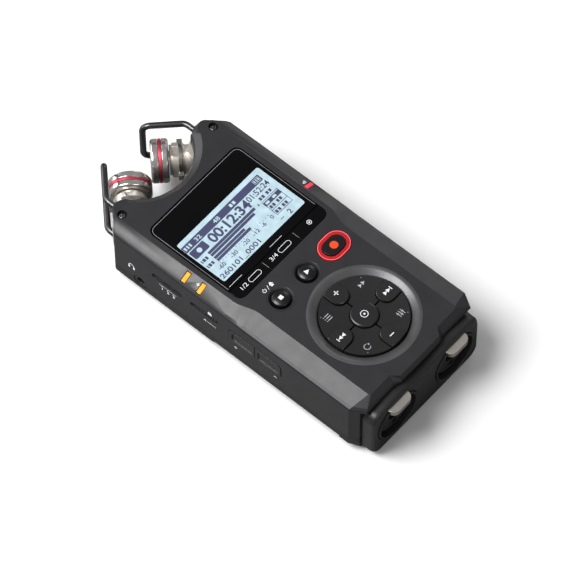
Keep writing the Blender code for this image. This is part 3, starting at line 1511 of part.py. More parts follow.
def jack_panel():
    back = RECESS_Y - FIT_GAP
    edge = PANEL_FACE_Y + PANEL_EDGE_DEPTH
    turn_forward, turn_inward = PANEL_EDGE_TURN
    turn = mix(edge, PANEL_FACE_Y, turn_forward)
    panel = loft(
        "jack_panel",
        [
            [(x, back, z) for x, z in mirrored(panel_half(0))],
            [(x, edge, z) for x, z in mirrored(panel_half(0))],
            [(x, turn, z) for x, z in mirrored(panel_half(PANEL_EDGE_SLOPE * turn_inward))],
            [(x, PANEL_FACE_Y, z) for x, z in mirrored(panel_half(PANEL_EDGE_SLOPE))],
        ],
        SIDE_BLACK,
    )
    for side, hand in ((-1, "left"), (1, "right")):
        hole = round_cutter(
            hand + "_combo_hole", COMBO_RADIUS + FIT_GAP, -OVERRUN * 2, OVERRUN * 2, (0, 0), ROUND_STEPS
        )
        x, z = combo_centre(side)
        settle(hole, Matrix.Translation((x, PANEL_FACE_Y, z)) @ LYING_TO_INPUT_END)
        notch = latch_block(hand + "_latch_notch", side, FIT_GAP, OVERRUN)
        cut(panel, hole, notch)
    return shade_round(panel)


def latch_block(name, side, grow, reach, finish=None):
    """The release tab over a socket's mouth, lying across its top."""
    x, z = combo_centre(side)
    height = z + COMBO_RADIUS - LATCH_HEIGHT
    back = PANEL_FACE_Y + LATCH_INSIDE + LATCH_TRAVEL
    return box(
        name,
        (x - LATCH_WIDTH / 2 - grow, PANEL_FACE_Y - reach, height - grow),
        (x + LATCH_WIDTH / 2 + grow, back + grow, height + LATCH_HEIGHT + grow),
        finish,
    )


def combo_socket(side, hand):
    """A combination socket: an outer sleeve, a round groove for the plug's shell and a core with a
    centre bore and three pin holes."""
    front = COMBO_PROUD
    floor = -COMBO_FRONT_LENGTH
    rear = floor - COMBO_REAR_LENGTH
    profile = [
        (COMBO_MOUTH_RADIUS + COMBO_PROUD / 2, front),
        (COMBO_RADIUS - COMBO_PROUD / 2, front),
        (COMBO_RADIUS, front - COMBO_PROUD / 2),
        (COMBO_RADIUS, floor),
        (COMBO_REAR_RADIUS, floor),
        (COMBO_REAR_RADIUS, rear),
        (COMBO_JACK_RADIUS, rear),
        (COMBO_JACK_RADIUS, -COMBO_CORE_SINK),
        (COMBO_CORE_RADIUS, -COMBO_CORE_SINK),
        (COMBO_CORE_RADIUS, -COMBO_GROOVE_DEPTH),
        (COMBO_MOUTH_RADIUS, -COMBO_GROOVE_DEPTH),
        (COMBO_MOUTH_RADIUS, front - COMBO_PROUD / 2),
    ]
    name = f"{hand}_input_socket"
    socket = shade_round(turned(name, profile, ROUND_STEPS, KEY_BLACK))
    tools = []
    for index, degrees in enumerate((-90, 30, 150)):
        angle = math.radians(degrees)
        centre = (COMBO_PIN_CIRCLE * math.cos(angle), COMBO_PIN_CIRCLE * math.sin(angle))
        hole = round_cutter(f"{name}_pin_{index}", COMBO_PIN_RADIUS, -COMBO_PIN_DEPTH, OVERRUN, centre, 12)
        tools.append(hole)
    notch_low = COMBO_RADIUS - LATCH_HEIGHT - FIT_GAP
    notch_depth = LATCH_INSIDE + LATCH_TRAVEL + FIT_GAP
    tools.append(
        box(
            name + "_latch_way",
            (-LATCH_WIDTH / 2 - FIT_GAP, notch_low, -notch_depth),
            (LATCH_WIDTH / 2 + FIT_GAP, COMBO_RADIUS + OVERRUN, OVERRUN),
        )
    )
    cut(socket, *tools)
    x, z = combo_centre(side)
    return settle_with_tools(socket, Matrix.Translation((x, PANEL_FACE_Y, z)) @ LYING_TO_INPUT_END)


def release_latch(side, hand):
    x, z = combo_centre(side)
    height = z + COMBO_RADIUS - LATCH_HEIGHT
    front = PANEL_FACE_Y - LATCH_REACH
    back = PANEL_FACE_Y + LATCH_INSIDE
    outline = rounded_rectangle(
        (x - LATCH_WIDTH / 2, front),
        (x + LATCH_WIDTH / 2, back),
        LATCH_REACH * LATCH_CORNER_SHARE,
        LATCH_CORNER_STEPS,
        (True, False, False, True),
    )
    latch = flat(f"{hand}_release_latch", [outline], height, height + LATCH_HEIGHT, NICKEL)
    put_origin(latch, (x, PANEL_FACE_Y, height + LATCH_HEIGHT / 2))
    return round_edges(latch, LATCH_ROUND, 2, 60)


# Microphones and guards


def mic_matrix(side):
    """Carries a piece drawn along +X from the swivel to its place, pointing inwards and forwards."""
    x, y = pivot(side)
    angle = MIC_REST_ANGLE if side < 0 else math.pi - MIC_REST_ANGLE
    return Matrix.Translation((x, y, MIC_Z)) @ Matrix.Rotation(angle, 4, "Z")


TURNED_TO_MIC_AXIS = Matrix.Rotation(math.pi / 2, 4, "Y")


def mic_arm(side, hand):
    """The swivel drum with its stub axles, base ring and neck, in one piece."""
    name = f"{hand}_mic_arm"
    stem_profile = [
        (0, NECK_END),
        (NECK_WAIST_RADIUS, NECK_END),
        (NECK_WAIST_RADIUS, NECK_END - NECK_GROOVE),
        (NECK_RADIUS, NECK_END - NECK_GROOVE),
        (NECK_RADIUS, BASE_END + NECK_GROOVE),
        (BASE_RADIUS, BASE_END),
        (BASE_RADIUS, DRUM_RADIUS / 2),
        (0, DRUM_RADIUS / 2),
    ]
    arm = settle(turned(name, stem_profile, 28, NICKEL), TURNED_TO_MIC_AXIS)
    drum = rod(name + "_drum", DRUM_RADIUS, -DRUM_HALF_HEIGHT, DRUM_HALF_HEIGHT, steps=32)
    axle_low = PARTING_HEIGHT - PIN_DEPTH - MIC_Z
    axle_high = PLATE_Z - SLOT_TOP_DROP + PIN_DEPTH - MIC_Z
    axle = rod(name + "_axle", PIN_RADIUS, axle_low, axle_high, steps=16)
    window_low = BASE_END + NECK_GROOVE
    windows = []
    for index, up in enumerate((-1, 1)):
        low, high = sorted((up * NECK_FLAT, up * (NECK_RADIUS + OVERRUN)))
        windows.append(
            box(
                f"{name}_window_{index}",
                (window_low, -NECK_WINDOW_WIDTH / 2, low),
                (NECK_END - NECK_GROOVE, NECK_WINDOW_WIDTH / 2, high),
            )
        )
    join(arm, drum, axle)
    cut(arm, *windows)
    shade_round(arm)
    return settle_with_tools(arm, mic_matrix(side))


def mic_head(side, hand):
    """The capsule housing: a short drum with a groove for its red ring and a cup for the grille."""
    name = f"{hand}_mic_head"
    top = HEAD_START + HEAD_LENGTH
    groove_low = HEAD_START + RED_RING_POSITION - RED_RING_WIDTH / 2 - FIT_GAP / 2
    groove_high = groove_low + RED_RING_WIDTH + FIT_GAP
    groove_radius = HEAD_RADIUS - RED_RING_DEPTH - FIT_GAP / 2
    profile = [
        (0, top - HEAD_CUP_DEPTH),
        (HEAD_CUP_RADIUS, top - HEAD_CUP_DEPTH),
        (HEAD_CUP_RADIUS, top),
        (HEAD_RADIUS - HEAD_EDGE, top),
        (HEAD_RADIUS, top - HEAD_EDGE),
        (HEAD_RADIUS, groove_high),
        (groove_radius, groove_high),
        (groove_radius, groove_low),
        (HEAD_RADIUS, groove_low),
        (HEAD_RADIUS, HEAD_START + HEAD_EDGE),
        (HEAD_RADIUS - HEAD_EDGE, HEAD_START),
        (0, HEAD_START),
    ]
    head = shade_round(turned(name, profile, 36, CHROME))
    return settle(head, mic_matrix(side) @ TURNED_TO_MIC_AXIS)


def mic_ring(side, hand):
    low = HEAD_START + RED_RING_POSITION - RED_RING_WIDTH / 2
    profile = [
        (HEAD_RADIUS - RED_RING_DEPTH + FIT_GAP / 2, low + RED_RING_WIDTH),
        (HEAD_RADIUS, low + RED_RING_WIDTH),
        (HEAD_RADIUS, low),
        (HEAD_RADIUS - RED_RING_DEPTH + FIT_GAP / 2, low),
    ]
    ring = turned(f"{hand}_mic_ring", profile, 36, RING_RED)
    return settle(shade_round(ring), mic_matrix(side) @ TURNED_TO_MIC_AXIS)


def mic_grille(side, hand):
    top = HEAD_START + HEAD_LENGTH - GRILLE_SINK
    radius = HEAD_CUP_RADIUS - FIT_GAP
    profile = [
        (0, top + GRILLE_DOME),
        *((radius * across, top + GRILLE_DOME * up) for across, up in GRILLE_DOME_SHARES),
        (radius, top),
        (radius, top - GRILLE_THICKNESS),
        (0, top - GRILLE_THICKNESS),
    ]
    grille = turned(f"{hand}_mic_grille", profile, 28, GRILLE_GREY)
    return settle(shade_round(grille), mic_matrix(side) @ TURNED_TO_MIC_AXIS)


def wire_guard(side, hand):
    """One wire bent into a hoop: out of the horn, inwards at 45 degrees, down and back."""
    upper, lower = GUARD_LEVELS
    tip_y = HORN_END + GUARD_REACH - GUARD_WIRE_RADIUS
    bend_y = tip_y - (GUARD_X - GUARD_TIP_X)
    root_y = HORN_END - GUARD_ROOT_DEPTH
    corners = [
        (side * GUARD_X, root_y, upper),
        (side * GUARD_X, bend_y, upper),
        (side * GUARD_TIP_X, tip_y, upper),
        (side * GUARD_TIP_X, tip_y, lower),
        (side * GUARD_X, bend_y, lower),
        (side * GUARD_X, root_y, lower),
    ]
    radii = (GUARD_BEND_RADIUS, GUARD_CORNER_RADIUS, GUARD_CORNER_RADIUS, GUARD_BEND_RADIUS)
    return wire(f"{hand}_mic_guard", filleted(corners, radii), GUARD_WIRE_RADIUS, WIRE_GREY)


# Back and inside


def battery_cover():
    """A shallow tray that closes the bay and wraps round the casing's lower edges."""
    low_y, high_y = along(COVER_LOW), along(COVER_HIGH)
    wide = HALF_WIDTH - COVER_INSET
    narrow = wide - BACK_EDGE_ACROSS
    half = [
        (0, 0),
        (narrow, 0),
        (wide - BACK_EDGE_ACROSS * BACK_EDGE_ROUND_SHARE, BACK_EDGE_ROUND),
        (wide, BACK_EDGE_UP),
        (wide, COVER_HEIGHT),
        (0, COVER_HEIGHT),
    ]
    section = mirrored(half)
    cover = loft(
        "battery_cover",
        [[(x, low_y, z) for x, z in section], [(x, high_y, z) for x, z in section]],
        SIDE_BLACK,
    )
    inside = box(
        "cover_inside",
        (-narrow, low_y + COVER_WALL, COVER_WALL),
        (narrow, high_y - COVER_WALL, COVER_HEIGHT + OVERRUN),
    )
    cut(cover, inside)
    for index in range(COVER_GRIP_COUNT):
        start = high_y - COVER_GRIP_FROM_END - index * COVER_GRIP_PITCH
        groove = box(
            f"cover_grip_{index}",
            (-COVER_GRIP_LENGTH / 2, start, -OVERRUN),
            (COVER_GRIP_LENGTH / 2, start + COVER_GRIP_WIDTH, COVER_GRIP_DEPTH),
        )
        cut(cover, groove)
    return put_origin(cover, (0, low_y, 0))


def cells():
    for index, column in enumerate((-1, 0, 1)):
        up = 1 if index % 2 == 0 else -1
        profile = [
            (0, CELL_LENGTH / 2 + CELL_BUTTON_LENGTH),
            (CELL_BUTTON_RADIUS, CELL_LENGTH / 2 + CELL_BUTTON_LENGTH),
            (CELL_BUTTON_RADIUS, CELL_LENGTH / 2),
            (CELL_RADIUS - CELL_EDGE, CELL_LENGTH / 2),
            (CELL_RADIUS, CELL_LENGTH / 2 - CELL_EDGE),
            (CELL_RADIUS, -CELL_LENGTH / 2 + CELL_EDGE),
            (CELL_RADIUS - CELL_EDGE, -CELL_LENGTH / 2),
            (0, -CELL_LENGTH / 2),
        ]
        cell = shade_round(turned(f"cell_{index + 1}", profile, 24, CELL_GREY))
        turn = Matrix.Rotation(-math.pi / 2 * up, 4, "X")
        shift = 0 if up > 0 else CELL_BUTTON_LENGTH
        middle = along(CELL_LOW) + CELL_LENGTH / 2 + shift
        settle(cell, Matrix.Translation((column * CELL_PITCH, middle, CELL_HEIGHT)) @ turn)


def contact_strip(name, wall_y, toward):
    """A sheet metal strip across the bay's end wall, with a conical spring for each cell."""
    inner = wall_y + toward * FIT_GAP
    face = inner + toward * CONTACT_THICKNESS
    low, high = sorted((inner, face))
    half = CELL_SPREAD - FIT_GAP
    strip = box(
        name,
        (-half, low, CELL_HEIGHT - CELL_RADIUS * CONTACT_HEIGHT_SHARE),
        (half, high, CELL_HEIGHT + CELL_RADIUS * CONTACT_HEIGHT_SHARE),
        SPRING_STEEL,
    )
    return strip, face


def battery_contacts():
    strip, face = contact_strip("negative_contacts", along(BAY_LOW), 1)
    for column in (-1, 0, 1):
        length = CONTACT_SPRING_LENGTH
        spring = rod(
            f"contact_spring_{column + 1}",
            CONTACT_SPRING_RADIUS,
            -CONTACT_THICKNESS / 2,
            length - FIT_GAP / 2,
            steps=16,
            top_radius=CONTACT_TIP_RADIUS,
        )
        place = Matrix.Translation((column * CELL_PITCH, face, CELL_HEIGHT))
        settle(spring, place @ Matrix.Rotation(-math.pi / 2, 4, "X"))
        join(strip, spring)
    contact_strip("positive_contacts", along(BAY_HIGH), -1)


def speaker():
    low = BACK_EDGE_UP + FIT_GAP
    basket = low + SPEAKER_THICKNESS * SPEAKER_BASKET_SHARE
    profile = [
        (0, low + SPEAKER_THICKNESS),
        (SPEAKER_RADIUS * SPEAKER_MAGNET_SHARE, low + SPEAKER_THICKNESS),
        (SPEAKER_RADIUS * SPEAKER_MAGNET_SHARE, basket),
        (SPEAKER_RADIUS, basket),
        (SPEAKER_RADIUS, low),
        *((SPEAKER_RADIUS * across, low + SPEAKER_THICKNESS * up) for across, up in SPEAKER_CONE_SHARES),
    ]
    piece = shade_round(turned("speaker", profile, 28, SCREW_BLACK))
    return settle(piece, Matrix.Translation((0, along(SPEAKER_ALONG), 0)))


def tripod_bush():
    low = tripod_low()
    outline = circle((0, 0), TRIPOD_BUSH_RADIUS, TRIPOD_BUSH_SIDES)
    bore = circle((0, 0), TRIPOD_BORE_RADIUS, TRIPOD_BORE_STEPS)
    bush = flat("tripod_bush", [outline, bore], low, PARTING_HEIGHT - FIT_GAP, BRASS)
    return settle(bush, Matrix.Translation((0, along(TRIPOD_ALONG), 0)))


def build():
    front_shell()
    rear_shell()
    display_window()
    screen_module()
    strip_keys()
    domed_button("stop_button", STOP_X, KEY_BLACK)
    domed_button("play_button", PLAY_X, KEY_BLACK)
    record_button()
    record_light_ring()
    pad_keys()
    key_mat()
    main_board()
    for name, side, distance in lens_places():
        finish = LENS_ORANGE if side < 0 else LENS_RED
        lens_block(name, side, distance, 0, LENS_RISE, finish)
    for (name, distance, length, travel), shift in zip(SWITCHES, (0, -HOLD_SWITCH_TRAVEL / 2)):
        slide_switch(name, distance, length, travel, shift)
    side_key_pair(
        ("level_down_key", "level_up_key"),
        -1,
        LEVEL_KEYS_ALONG,
        LEVEL_KEYS_LENGTH,
        LEVEL_KEYS_HEIGHT,
        LEVEL_KEYS_DROP,
    )
    side_key_pair(
        ("volume_up_key", "volume_down_key"),
        1,
        VOLUME_KEYS_ALONG,
        VOLUME_KEYS_LENGTH,
        VOLUME_KEYS_HEIGHT,
        SWITCH_DROP,
    )
    side_socket("phones_socket", -1, PHONES_ALONG)
    side_socket("remote_socket", 1, REMOTE_ALONG)
    card_door()
    usb_socket()
    jack_panel()
    for side, hand in ((-1, "left"), (1, "right")):
        combo_socket(side, hand)
        release_latch(side, hand)
        mic_arm(side, hand)
        mic_head(side, hand)
        mic_ring(side, hand)
        mic_grille(side, hand)
        wire_guard(side, hand)
        horn_screw(side, hand)
    battery_cover()
    cells()
    battery_contacts()
    speaker()
    tripod_bush()


build()
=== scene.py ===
# %% [markdown]
# # A handheld digital recorder
# The imported model gives every solid in its place. This notebook dresses it: finer edges, real
# finishes, the display's picture, the printed symbols, then light, floor and camera. It starts by
# fetching the solids.

import json
import math

import bmesh
import bpy
from mathutils import Matrix, Vector


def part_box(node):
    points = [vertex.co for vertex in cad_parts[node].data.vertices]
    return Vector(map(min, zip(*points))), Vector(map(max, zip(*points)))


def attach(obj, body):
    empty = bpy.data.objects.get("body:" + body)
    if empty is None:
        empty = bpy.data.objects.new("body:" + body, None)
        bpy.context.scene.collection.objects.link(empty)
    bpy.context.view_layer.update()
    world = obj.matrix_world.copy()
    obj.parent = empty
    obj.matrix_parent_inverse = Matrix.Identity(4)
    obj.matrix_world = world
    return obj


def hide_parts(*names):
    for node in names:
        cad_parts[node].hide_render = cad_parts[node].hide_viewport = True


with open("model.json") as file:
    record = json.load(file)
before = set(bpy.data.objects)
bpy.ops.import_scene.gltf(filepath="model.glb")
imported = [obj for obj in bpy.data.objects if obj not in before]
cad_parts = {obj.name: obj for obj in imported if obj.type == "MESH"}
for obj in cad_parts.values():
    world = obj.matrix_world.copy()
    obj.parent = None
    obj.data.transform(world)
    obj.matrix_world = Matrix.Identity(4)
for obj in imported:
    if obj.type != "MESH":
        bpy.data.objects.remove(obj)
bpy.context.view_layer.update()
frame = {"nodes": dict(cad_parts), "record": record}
MM = 0.001

# %% [markdown]
# ## Finding a part's body
# Each solid belongs to a body that may swivel or slide. A new piece has to ride on the same body, so
# this small lookup turns the record's list round, from solid to body.

# %% Which body carries which solid
body_of_solid = {
    solid: body
    for body, solids in frame["record"]["behaviour"]["bodies"].items()
    for solid in solids
}

# %% [markdown]
# ## Finishes
# A real surface is never one flat colour. Moulded plastic has a fine spark-eroded grain and drifts a
# little in tone; metal has turning marks that stretch the highlights. Each finish is built from
# noise on Object coordinates, which stay on the part when it moves. The alternatives are painted
# image maps, which need files, or vertex colours, which need dense meshes. The first helper lays
# down a shader and its noise; the others add what one family of finishes needs.


# %% A blank finish with its coordinates
def blank_finish(name, colour, roughness, metallic=0.0):
    finish = bpy.data.materials.new(name)
    finish.use_nodes = True
    shader = finish.node_tree.nodes["Principled BSDF"]
    shader.inputs["Base Color"].default_value = (*colour, 1.0)
    shader.inputs["Roughness"].default_value = roughness
    shader.inputs["Metallic"].default_value = metallic
    return finish, shader


def add_node(finish, kind, **settings):
    node = finish.node_tree.nodes.new(kind)
    for key, value in settings.items():
        if hasattr(node, key):
            setattr(node, key, value)
        else:
            node.inputs[key].default_value = value
    return node


def wire_up(finish, source, target):
    finish.node_tree.links.new(source, target)


# %% [markdown]
# Noise comes in through a Mapping node so that it can be stretched: equal scales give a grain,
# unequal scales give brushed or turned streaks.


# %% Noise, tone and bump helpers
def noise(finish, scale, detail=4.0, stretch=(1, 1, 1)):
    place = add_node(finish, "ShaderNodeTexCoord")
    mapping = add_node(finish, "ShaderNodeMapping", Scale=stretch)
    pattern = add_node(finish, "ShaderNodeTexNoise", Scale=scale, Detail=detail)
    wire_up(finish, place.outputs["Object"], mapping.inputs["Vector"])
    wire_up(finish, mapping.outputs["Vector"], pattern.inputs["Vector"])
    return pattern.outputs["Fac"]


def drift_tone(finish, shader, source, dark, light):
    """The base colour wanders between two tones."""
    ramp = add_node(finish, "ShaderNodeValToRGB")
    ramp.color_ramp.elements[0].position = 0.3
    ramp.color_ramp.elements[1].position = 0.7
    ramp.color_ramp.elements[0].color = (*dark, 1)
    ramp.color_ramp.elements[1].color = (*light, 1)
    wire_up(finish, source, ramp.inputs["Fac"])
    wire_up(finish, ramp.outputs["Color"], shader.inputs["Base Color"])


def drift_gloss(finish, shader, source, low, high):
    """Roughness wanders between two values, as a handled surface's does."""
    spread = add_node(finish, "ShaderNodeMapRange")
    spread.inputs["To Min"].default_value = low
    spread.inputs["To Max"].default_value = high
    wire_up(finish, source, spread.inputs["Value"])
    wire_up(finish, spread.outputs["Result"], shader.inputs["Roughness"])


def raise_grain(finish, shader, source, depth):
    bump = add_node(finish, "ShaderNodeBump", Strength=1.0, Distance=depth)
    wire_up(finish, source, bump.inputs["Height"])
    wire_up(finish, bump.outputs["Normal"], shader.inputs["Normal"])


# %% [markdown]
# ### Moulded and painted plastic
# The casing front is sprayed dark grey over a fine grain. The back is black plastic with a coarser
# grain, and the keys, the end block and the window are smoother. One helper takes the colour, the
# roughness and the depth of the grain, so that the family stays alike.


# %% Plastics
def moulded(name, colour, roughness, grain=0.012 * MM, lift=1.35, size=3200, coat=0.0):
    finish, shader = blank_finish(name, colour, roughness)
    lighter = tuple(min(channel * lift, 1) for channel in colour)
    drift_tone(finish, shader, noise(finish, 60, 6), colour, lighter)
    drift_gloss(finish, shader, noise(finish, 220, 8), roughness * 0.85, roughness * 1.15)
    raise_grain(finish, shader, noise(finish, size, 2), grain)
    shader.inputs["Coat Weight"].default_value = coat
    shader.inputs["Coat Roughness"].default_value = 0.12
    return finish


def tune(finish, setting, value):
    finish.node_tree.nodes["Principled BSDF"].inputs[setting].default_value = value


casing_paint = moulded("casing_paint", (0.015, 0.015, 0.0172), 0.4, 0.01 * MM, 1.25)
back_plastic = moulded("back_plastic", (0.012, 0.012, 0.013), 0.46, 0.02 * MM)
end_plastic = moulded("end_plastic", (0.014, 0.014, 0.015), 0.34)
key_plastic = moulded("key_plastic", (0.012, 0.012, 0.013), 0.28, 0.005 * MM)
button_gloss = moulded("button_gloss", (0.004, 0.004, 0.0045), 0.3, 0.001 * MM)
glass_black = moulded("glass_black", (0.0016, 0.0016, 0.002), 0.1, 0.0005 * MM)
tune(glass_black, "Specular IOR Level", 0.2)
dish_paint = moulded("dish_paint", (0.018, 0.018, 0.02), 0.24, 0.004 * MM)
mat_rubber = moulded("mat_rubber", (0.1, 0.1, 0.1), 0.85, 0.03 * MM)
print("plastics mixed")

# %% [markdown]
# ### Metals
# The microphones are turned and nickel plated, so the reflections are broken into fine rings. The
# streaks come from noise squeezed along one direction, and they move the gloss as well as the bump.
# Heads and necks are set a little under fully metallic, which keeps their darkest places from
# going black.


# %% Metals
def metal(name, colour, roughness, stretch=(1, 1, 12), size=900, depth=0.004 * MM, dark=0.55):
    finish, shader = blank_finish(name, colour, roughness, 1.0)
    streaks = noise(finish, size, 5, stretch)
    darker = tuple(channel * dark for channel in colour)
    drift_tone(finish, shader, noise(finish, 90, 3), darker, colour)
    drift_gloss(finish, shader, streaks, roughness * 0.7, roughness * 1.4)
    raise_grain(finish, shader, streaks, depth)
    return finish


mic_nickel = metal("mic_nickel", (0.86, 0.83, 0.8), 0.19, depth=0.0015 * MM, dark=0.78)
neck_nickel = metal("neck_nickel", (0.85, 0.79, 0.71), 0.34, depth=0.002 * MM, dark=0.8)
band_nickel = metal("band_nickel", (0.62, 0.59, 0.55), 0.24, depth=0.002 * MM, dark=0.7)
tune(mic_nickel, "Metallic", 0.94)
tune(neck_nickel, "Metallic", 0.82)
latch_nickel = metal("latch_nickel", (0.78, 0.73, 0.67), 0.32, (12, 1, 1), dark=0.8)
guard_coating = metal("guard_coating", (0.12, 0.12, 0.122), 0.3, (1, 1, 1), 1500, dark=0.8)
screw_plating = metal("screw_plating", (0.16, 0.16, 0.16), 0.25)
spring_plating = metal("spring_plating", (0.66, 0.66, 0.63), 0.25)
bush_brass = metal("bush_brass", (0.72, 0.52, 0.22), 0.28)
red_anodising = metal("red_anodising", (0.86, 0.12, 0.17), 0.42, dark=0.85)
print("metals mixed")

# %% [markdown]
# ### Lit and coloured plastics
# The record button's ring and the small lenses are translucent plastic with a lamp behind, and the
# display is lit from behind too. A little emission under the gloss reads as that lamp without
# lighting the scene. The inks, the printed lines and the finishes of the inside are plain plastics.


# %% Lamps, display and small finishes
def lit_plastic(name, colour, glow, strength):
    finish, shader = blank_finish(name, colour, 0.5)
    lighter = tuple(min(channel * 1.25, 1) for channel in colour)
    drift_tone(finish, shader, noise(finish, 300, 3), colour, lighter)
    drift_gloss(finish, shader, noise(finish, 500, 3), 0.42, 0.58)
    shader.inputs["Emission Color"].default_value = (*glow, 1)
    shader.inputs["Emission Strength"].default_value = strength
    shader.inputs["Specular IOR Level"].default_value = 0.25
    return finish


record_glow = lit_plastic("record_glow", (0.28, 0.007, 0.011), (1.0, 0.03, 0.045), 0.13)
# The rim's paler red and stronger glow are a painted highlight for the ring's bright outer edge.
rim_painted_highlight = lit_plastic("rim_painted_highlight", (0.72, 0.09, 0.1), (1.0, 0.16, 0.17), 0.42)
orange_glow = lit_plastic("orange_glow", (0.75, 0.3, 0.015), (1.0, 0.4, 0.02), 0.14)
red_glow = lit_plastic("red_glow", (0.6, 0.045, 0.08), (1.0, 0.08, 0.14), 0.14)
# The record sign is red print, not a lamp: its faint emission is a painted glow.
record_dot_painted_glow = lit_plastic("record_dot_painted_glow", (0.6, 0.05, 0.012), (1.0, 0.08, 0.02), 0.12)
screen_pale = lit_plastic("screen_pale", (0.37, 0.49, 0.55), (0.5, 0.7, 0.8), 0.05)
screen_ink = moulded("screen_ink", (0.045, 0.05, 0.11), 0.4, 0.0005 * MM, 1.2)
print_white = moulded("print_white", (0.72, 0.73, 0.75), 0.5, 0.001 * MM, 1.1)
print_grey = moulded("print_grey", (0.36, 0.37, 0.39), 0.5, 0.001 * MM, 1.1)
silver_line = moulded("silver_line", (0.2, 0.2, 0.21), 0.35, 0.001 * MM)
board_epoxy = moulded("board_epoxy", (0.015, 0.11, 0.04), 0.4, 0.002 * MM)
cell_sleeve = moulded("cell_sleeve", (0.13, 0.13, 0.14), 0.25, 0.001 * MM, coat=0.6)
# The pad ring's lighter, partly metallic grey is a painted sheen for the light its slope catches.
ring_painted_sheen = moulded("ring_painted_sheen", (0.085, 0.085, 0.088), 0.36, 0.002 * MM)
tune(ring_painted_sheen, "Metallic", 0.45)
print(len(bpy.data.materials), "finishes so far")

# %% [markdown]
# ## Softer edges on the solids
# A moulded or turned edge is never a knife edge: a small round along it catches a line of light, and
# that line is most of what makes a model look real. Each solid is copied, its loose triangles are
# merged, its flat areas are made whole again, and its edges get a small bevel. Remodelling every
# solid by hand would give the same shapes with more work and more chance of a misfit.


# %% A copy of a solid with its triangles merged
def merged_copy(solid):
    shape = bmesh.new()
    shape.from_mesh(frame["nodes"][solid].data)
    bmesh.ops.remove_doubles(shape, verts=shape.verts, dist=0.002 * MM)
    bmesh.ops.dissolve_degenerate(shape, edges=shape.edges, dist=0.002 * MM)
    bmesh.ops.dissolve_limit(
        shape, angle_limit=math.radians(0.6), verts=shape.verts, edges=shape.edges
    )
    return shape


def roomy(edge, width):
    """True where no edge at either end is too short for the bevel."""
    beside = {near for corner in edge.verts for near in corner.link_edges}
    return min(near.calc_length() for near in beside) > width * 2.2


def soften(shape, width, angle, segments=2):
    """Bevels the edges whose faces turn by more than the angle, and that have room for it."""
    sharp = [
        edge
        for edge in shape.edges
        if len(edge.link_faces) == 2
        and edge.calc_face_angle(0) > math.radians(angle)
        and roomy(edge, width)
    ]
    bmesh.ops.bevel(
        shape,
        geom=sharp,
        offset=width,
        segments=segments,
        profile=0.5,
        affect="EDGES",
        clamp_overlap=True,
        material=-1,
    )


# %% [markdown]
# The finished mesh is shaded smooth between its edges. A bevelled edge no longer counts as sharp, so
# the light runs round it. Weighted normals let the big faces win over the narrow bevels, which keeps
# a flat plate looking flat.


# %% Turn a shape into a piece of the scene
def piece(name, shape, finish, body, smooth=32):
    bmesh.ops.recalc_face_normals(shape, faces=shape.faces)
    mesh = bpy.data.meshes.new(name)
    shape.to_mesh(mesh)
    shape.free()
    mesh.materials.append(finish)
    mesh.shade_smooth()
    mesh.set_sharp_from_angle(angle=math.radians(smooth))
    made = bpy.data.objects.new(name, mesh)
    bpy.context.scene.collection.objects.link(made)
    flat_first = made.modifiers.new("flat faces stay flat", "WEIGHTED_NORMAL")
    flat_first.keep_sharp = True
    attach(made, body)
    return made


slot_of_solid = {entry["node"]: entry["material_slot"] for entry in frame["record"]["subparts"]}


def dress(solid, finish, width=0.2 * MM, angle=35, segments=2, smooth=32):
    """Stands a softened copy in for a solid."""
    shape = merged_copy(solid)
    if width:
        soften(shape, width, angle, segments)
    body, slot = body_of_solid[solid], slot_of_solid[solid]
    made = piece(solid + "_dressed", shape, finish, body, smooth)
    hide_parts(solid)


# %% [markdown]
# ## The casing
# The front is one painted moulding. Its shoulders are drawn with flat bands that meet in creases,
# and paint fills such a crease, so even creases of 13 degrees get a narrow round here. The back,
# the battery cover and the socket panel are black mouldings, whose drawn curves are left alone and
# only whose sharper edges are broken. A Bevel modifier would do the same, but it can't leave out
# the places with too little room.

# %% Dress the casing
dress("front_shell", casing_paint, 0.18 * MM, 13, 2, 40)
dress("rear_shell", back_plastic, 0.2 * MM, 40)
dress("battery_cover", back_plastic, 0.2 * MM, 30)
dress("jack_panel", end_plastic, 0.25 * MM, 40)
dress("card_door", back_plastic, 0.12 * MM, 30)
print("casing dressed")

# %% [markdown]
# ## Keys, switches and sockets
# Key tops are satin black with a slightly larger round, because a thumb lives on them. The play and
# stop buttons are a deeper black, and the keys under the window are black as the window is. The
# four wide pad keys keep their drawn edges: their dished tops are many thin facets, and a bevel
# there would leave grey triangles.

# %% Dress the keys and switches
for key in ("enter_key", "forward_key", "plus_key", "back_key", "minus_key"):
    dress(key, key_plastic, 0.28 * MM, 35, 3)
for key in ("quick_key", "menu_key", "playback_key", "mixer_key"):
    dress(key, key_plastic, 0)
for key in ("stop_button", "play_button"):
    dress(key, button_gloss, 0.15 * MM, 50, 2, 50)
wall_keys = (
    "input_switch", "hold_switch", "level_down_key", "level_up_key", "volume_up_key", "volume_down_key"
)
for key in wall_keys:
    dress(key, key_plastic, 0.14 * MM, 35)
for key in ("input_1_2_key", "input_3_4_key", "record_mode_key"):
    dress(key, glass_black, 0.12 * MM, 40)
dress("record_button", button_gloss, 0.2 * MM, 35, 3)
dress("record_light_ring", record_glow, 0.25 * MM, 35, 3)
print("keys dressed")

# %% [markdown]
# Sockets are black mouldings, and only the USB shell and the release latches are plated metal. The
# lenses are small lit plastics. The guards are bent rods: their drawn curve is already round, so
# they are shaded smooth and get no bevel.

